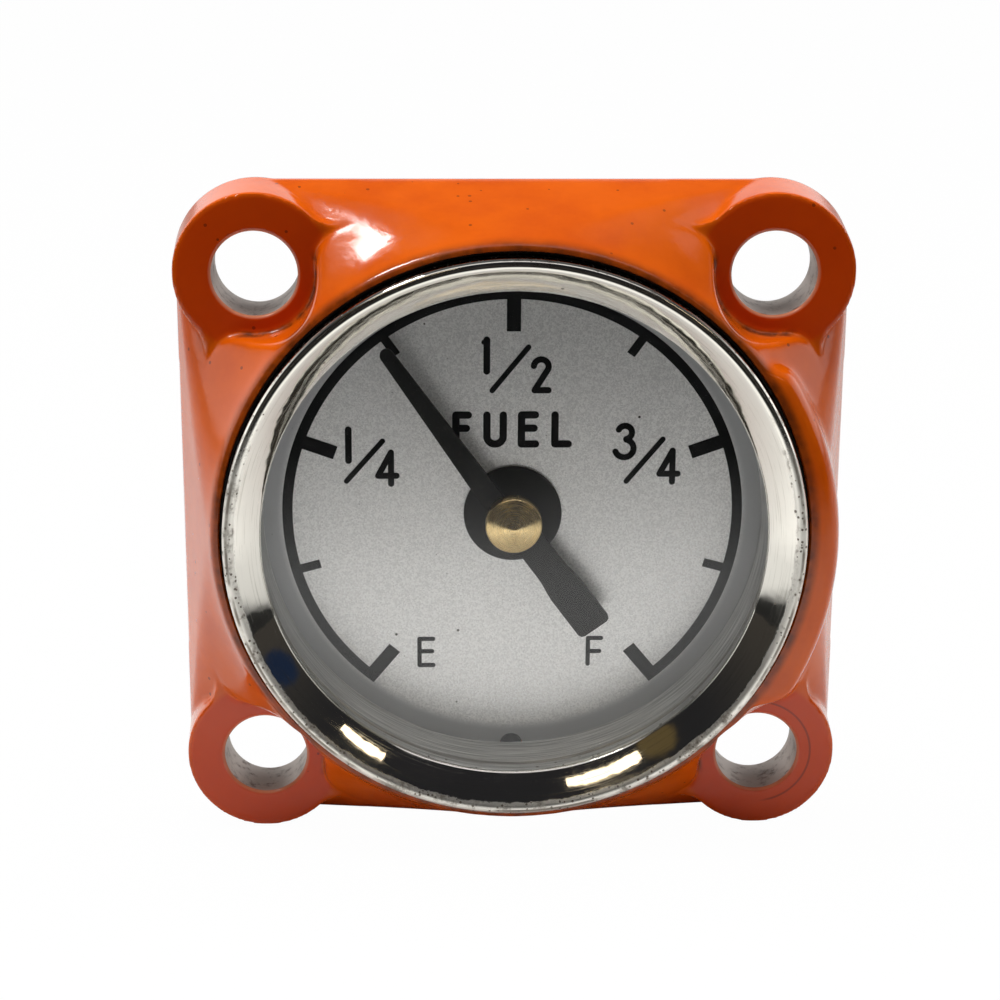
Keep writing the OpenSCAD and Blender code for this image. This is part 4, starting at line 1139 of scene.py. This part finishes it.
sector = from_solid("sector_gear", 0.06)
put_up(sector, "float_arm_group", "sector_gear", brass, 30, AS_IS)
cast = worked_metal("cast_alloy", (0.50, 0.50, 0.50), (0.30, 0.29, 0.28), 0.45, 0.65, 0.5, 0.85, 0.04)
hub = from_solid("float_arm_hub", 0.2, 3)
put_up(hub, "float_arm_group", "float_arm_hub", cast, 30, AS_IS)
rivet_at = 5.85
rivet = turned([
    (0, -1.6), (0.7, -1.55), (1.1, -1.38), (1.25, -1.1), (0.8, -1.1), (0.8, 4.4), (1.25, 4.4),
    (1.1, 4.68), (0.7, 4.85), (0, 4.9),
], 48)
rivets = round_pivot(rivet, rivet_at, (0, 120, 240))
put_up(rivets, "float_arm_group", "gear_rivets", brass, place=PIVOT)
set_r = 1.4
set_low = -4.8
set_high = -1.72
set_screw = turned([
    (0, set_low), (set_r - 0.2, set_low), (set_r, set_low + 0.2), (set_r, set_high - 0.5),
    (set_r - 0.5, set_high), (0, set_high),
], 48)
driver_slot = cut_block([
    (-2, -slot_half), (2, -slot_half), (2, slot_half), (-2, slot_half),
], set_low - 1, set_low + 0.8)
combine(set_screw, driver_slot, "DIFFERENCE")
screw_out = 15
screw_side = -4.1
arm_rest = 35.6 / 3
set_screw.data.transform(Matrix.Rotation(radians(180 - arm_rest), 4, "Z")
                         @ Matrix.Translation((screw_out, 0, screw_side)))
put_up(set_screw, "float_arm_group", "rod_set_screw", dark_steel, place=PIVOT)

# Floor, light and camera
# The gauge stands on a white table in a light tent whose front is open to a dark room. The
# chrome shows the room, with two small lamps in it.

bpy.ops.object.select_all(action="DESELECT")
table_h = -0.0337
bpy.ops.mesh.primitive_plane_add(size=6, location=(0, 0, table_h))
floor = bpy.context.object
floor.name = "floor"
paper, shader, place = new_finish(
    "white_paper", Roughness=0.9, Specular_IOR_Level=0.1, Emission_Strength=1.0)
on_floor = axes(place)
seen = add_node(place.id_data, "LightPath").outputs["Is Camera Ray"]
aside = reckon("ABSOLUTE", on_floor["X"])
# Painted light: except to the camera, the floor is white only in a pool in front of and beside the
# gauge, and painted dark further out where the light would fall off.
painted_pool_ahead = times(fade(aside, 0.16, 0.10), fade(on_floor["Y"], -0.15, -0.08))
near = most(fade(on_floor["Y"], -0.13, -0.065), painted_pool_ahead, seen)
# Painted light: a strip of floor in front of the gauge glows faintly, though no lamp is there.
painted_glow_below = times(between(on_floor["Y"], (-0.115, -0.085), (-0.02, -0.045)), fade(aside, 0.09, 0.05))
wire(shader, Base_Color=tint(near, (0.02, 0.02, 0.02), (0.8, 0.8, 0.79)),
     Emission_Color=tint(painted_glow_below, (0, 0, 0), (0.30, 0.30, 0.29)))
glow = add_node(place.id_data, "Emission", Color=(1, 1, 1), Strength=1.0)
either(times(seen, 0.985), shader.outputs[0], glow.outputs[0])
floor.data.materials.append(paper)
floor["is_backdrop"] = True

world = bpy.data.worlds.new("tent")
bpy.context.scene.world = world
world.use_nodes = True
tree = world.node_tree
heading_vector = add_node(tree, "TexCoord").outputs["Generated"]
heading = axes(heading_vector)
inside = fade(heading["Y"], -0.20, -0.15)
height = fade(heading["Z"], 0.2, 0.65)
sideways = fade(reckon("ABSOLUTE", heading["X"]), 0.3, 0.9)
wall = tint(sideways, (1.0, 1.0, 1.0), (1.38, 1.38, 1.36))
tent = tint(height, wall, (0.10, 0.10, 0.10))
room = tint(fade(heading["Z"], 0.0, 0.5), (0.05, 0.045, 0.04), (0.02, 0.02, 0.022))
for towards, width, glow_colour in (
    ((0.915, -0.360, 0.170), 0.10, (0.012, 0.022, 0.052)),
    ((-0.62, -0.45, 0.64), 0.12, (0.11, 0.08, 0.035)),
):
    gap = add_node(tree, "VectorMath", {"operation": "DISTANCE"}, Vector=heading_vector)
    gap.inputs[1].default_value = towards
    room = tint(fade(gap.outputs["Value"], width, width * 0.6), room, glow_colour)
strip = times(between(heading["Y"], (-0.42, -0.37), (-0.05, -0.10)), fade(heading["Z"], 0.72, 0.80))
strip_white = (1.0, 0.98, 1.0)
room = tint(strip, room, strip_white)
tent = tint(strip, tent, strip_white)
seen = add_node(tree, "LightPath").outputs["Is Camera Ray"]
feed(tree.nodes["Background"].inputs["Color"], tint(seen, tint(inside, room, tent), (1, 1, 1)))


def lamp(name, place, size, energy, along=(1, 0, 0), colour=(1, 1, 1), mirrored=True):
    """A rectangular lamp that points at the gauge, with its long side along a direction."""
    data = bpy.data.lights.new(name, "AREA")
    data.shape = "RECTANGLE"
    data.size, data.size_y = size
    data.energy = energy
    data.color = colour
    made = bpy.data.objects.new(name, data)
    made.location = place
    away = Vector(place).normalized()
    across = (Vector(along) - away * away.dot(Vector(along))).normalized()
    made.rotation_euler = Matrix((across, away.cross(across), away)).transposed().to_euler()
    made.visible_camera = False
    made.visible_glossy = mirrored
    bpy.context.collection.objects.link(made)


lamp("key", (-0.222, -0.015, 0.42), (0.09, 0.075), 0.75)
lamp("overhead", (0.01, -0.01, 0.45), (0.40, 0.30), 1.75, mirrored=False)
warm = (1.0, 0.84, 0.58)
lamp("right_room_lamp", (0.637, -0.442, 0.539), (0.215, 0.045), 0.10, (-0.70, -0.23, 0.66), warm)
lamp("left_room_lamp", (-0.356, -0.513, 0.714), (0.336, 0.050), 0.17, (-0.917, 0.093, -0.387), warm)

camera_data = bpy.data.cameras.new("camera")
camera = bpy.data.objects.new("camera", camera_data)
bpy.context.collection.objects.link(camera)
camera.location = (-0.00818, -0.25557, 0.08519)
aim = Vector((-0.001354, -0.00635, 0.002205))
view = (aim - camera.location).to_track_quat("-Z", "Y")
camera.rotation_mode = "QUATERNION"
camera.rotation_quaternion = view @ Matrix.Rotation(radians(0.331), 3, "Z").to_quaternion()
camera_data.sensor_width = 36
camera_data.lens = 94.406
camera_data.clip_start = 0.01
bpy.context.scene.camera = camera
bpy.context.scene.view_settings.view_transform = "Standard"

low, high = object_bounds()
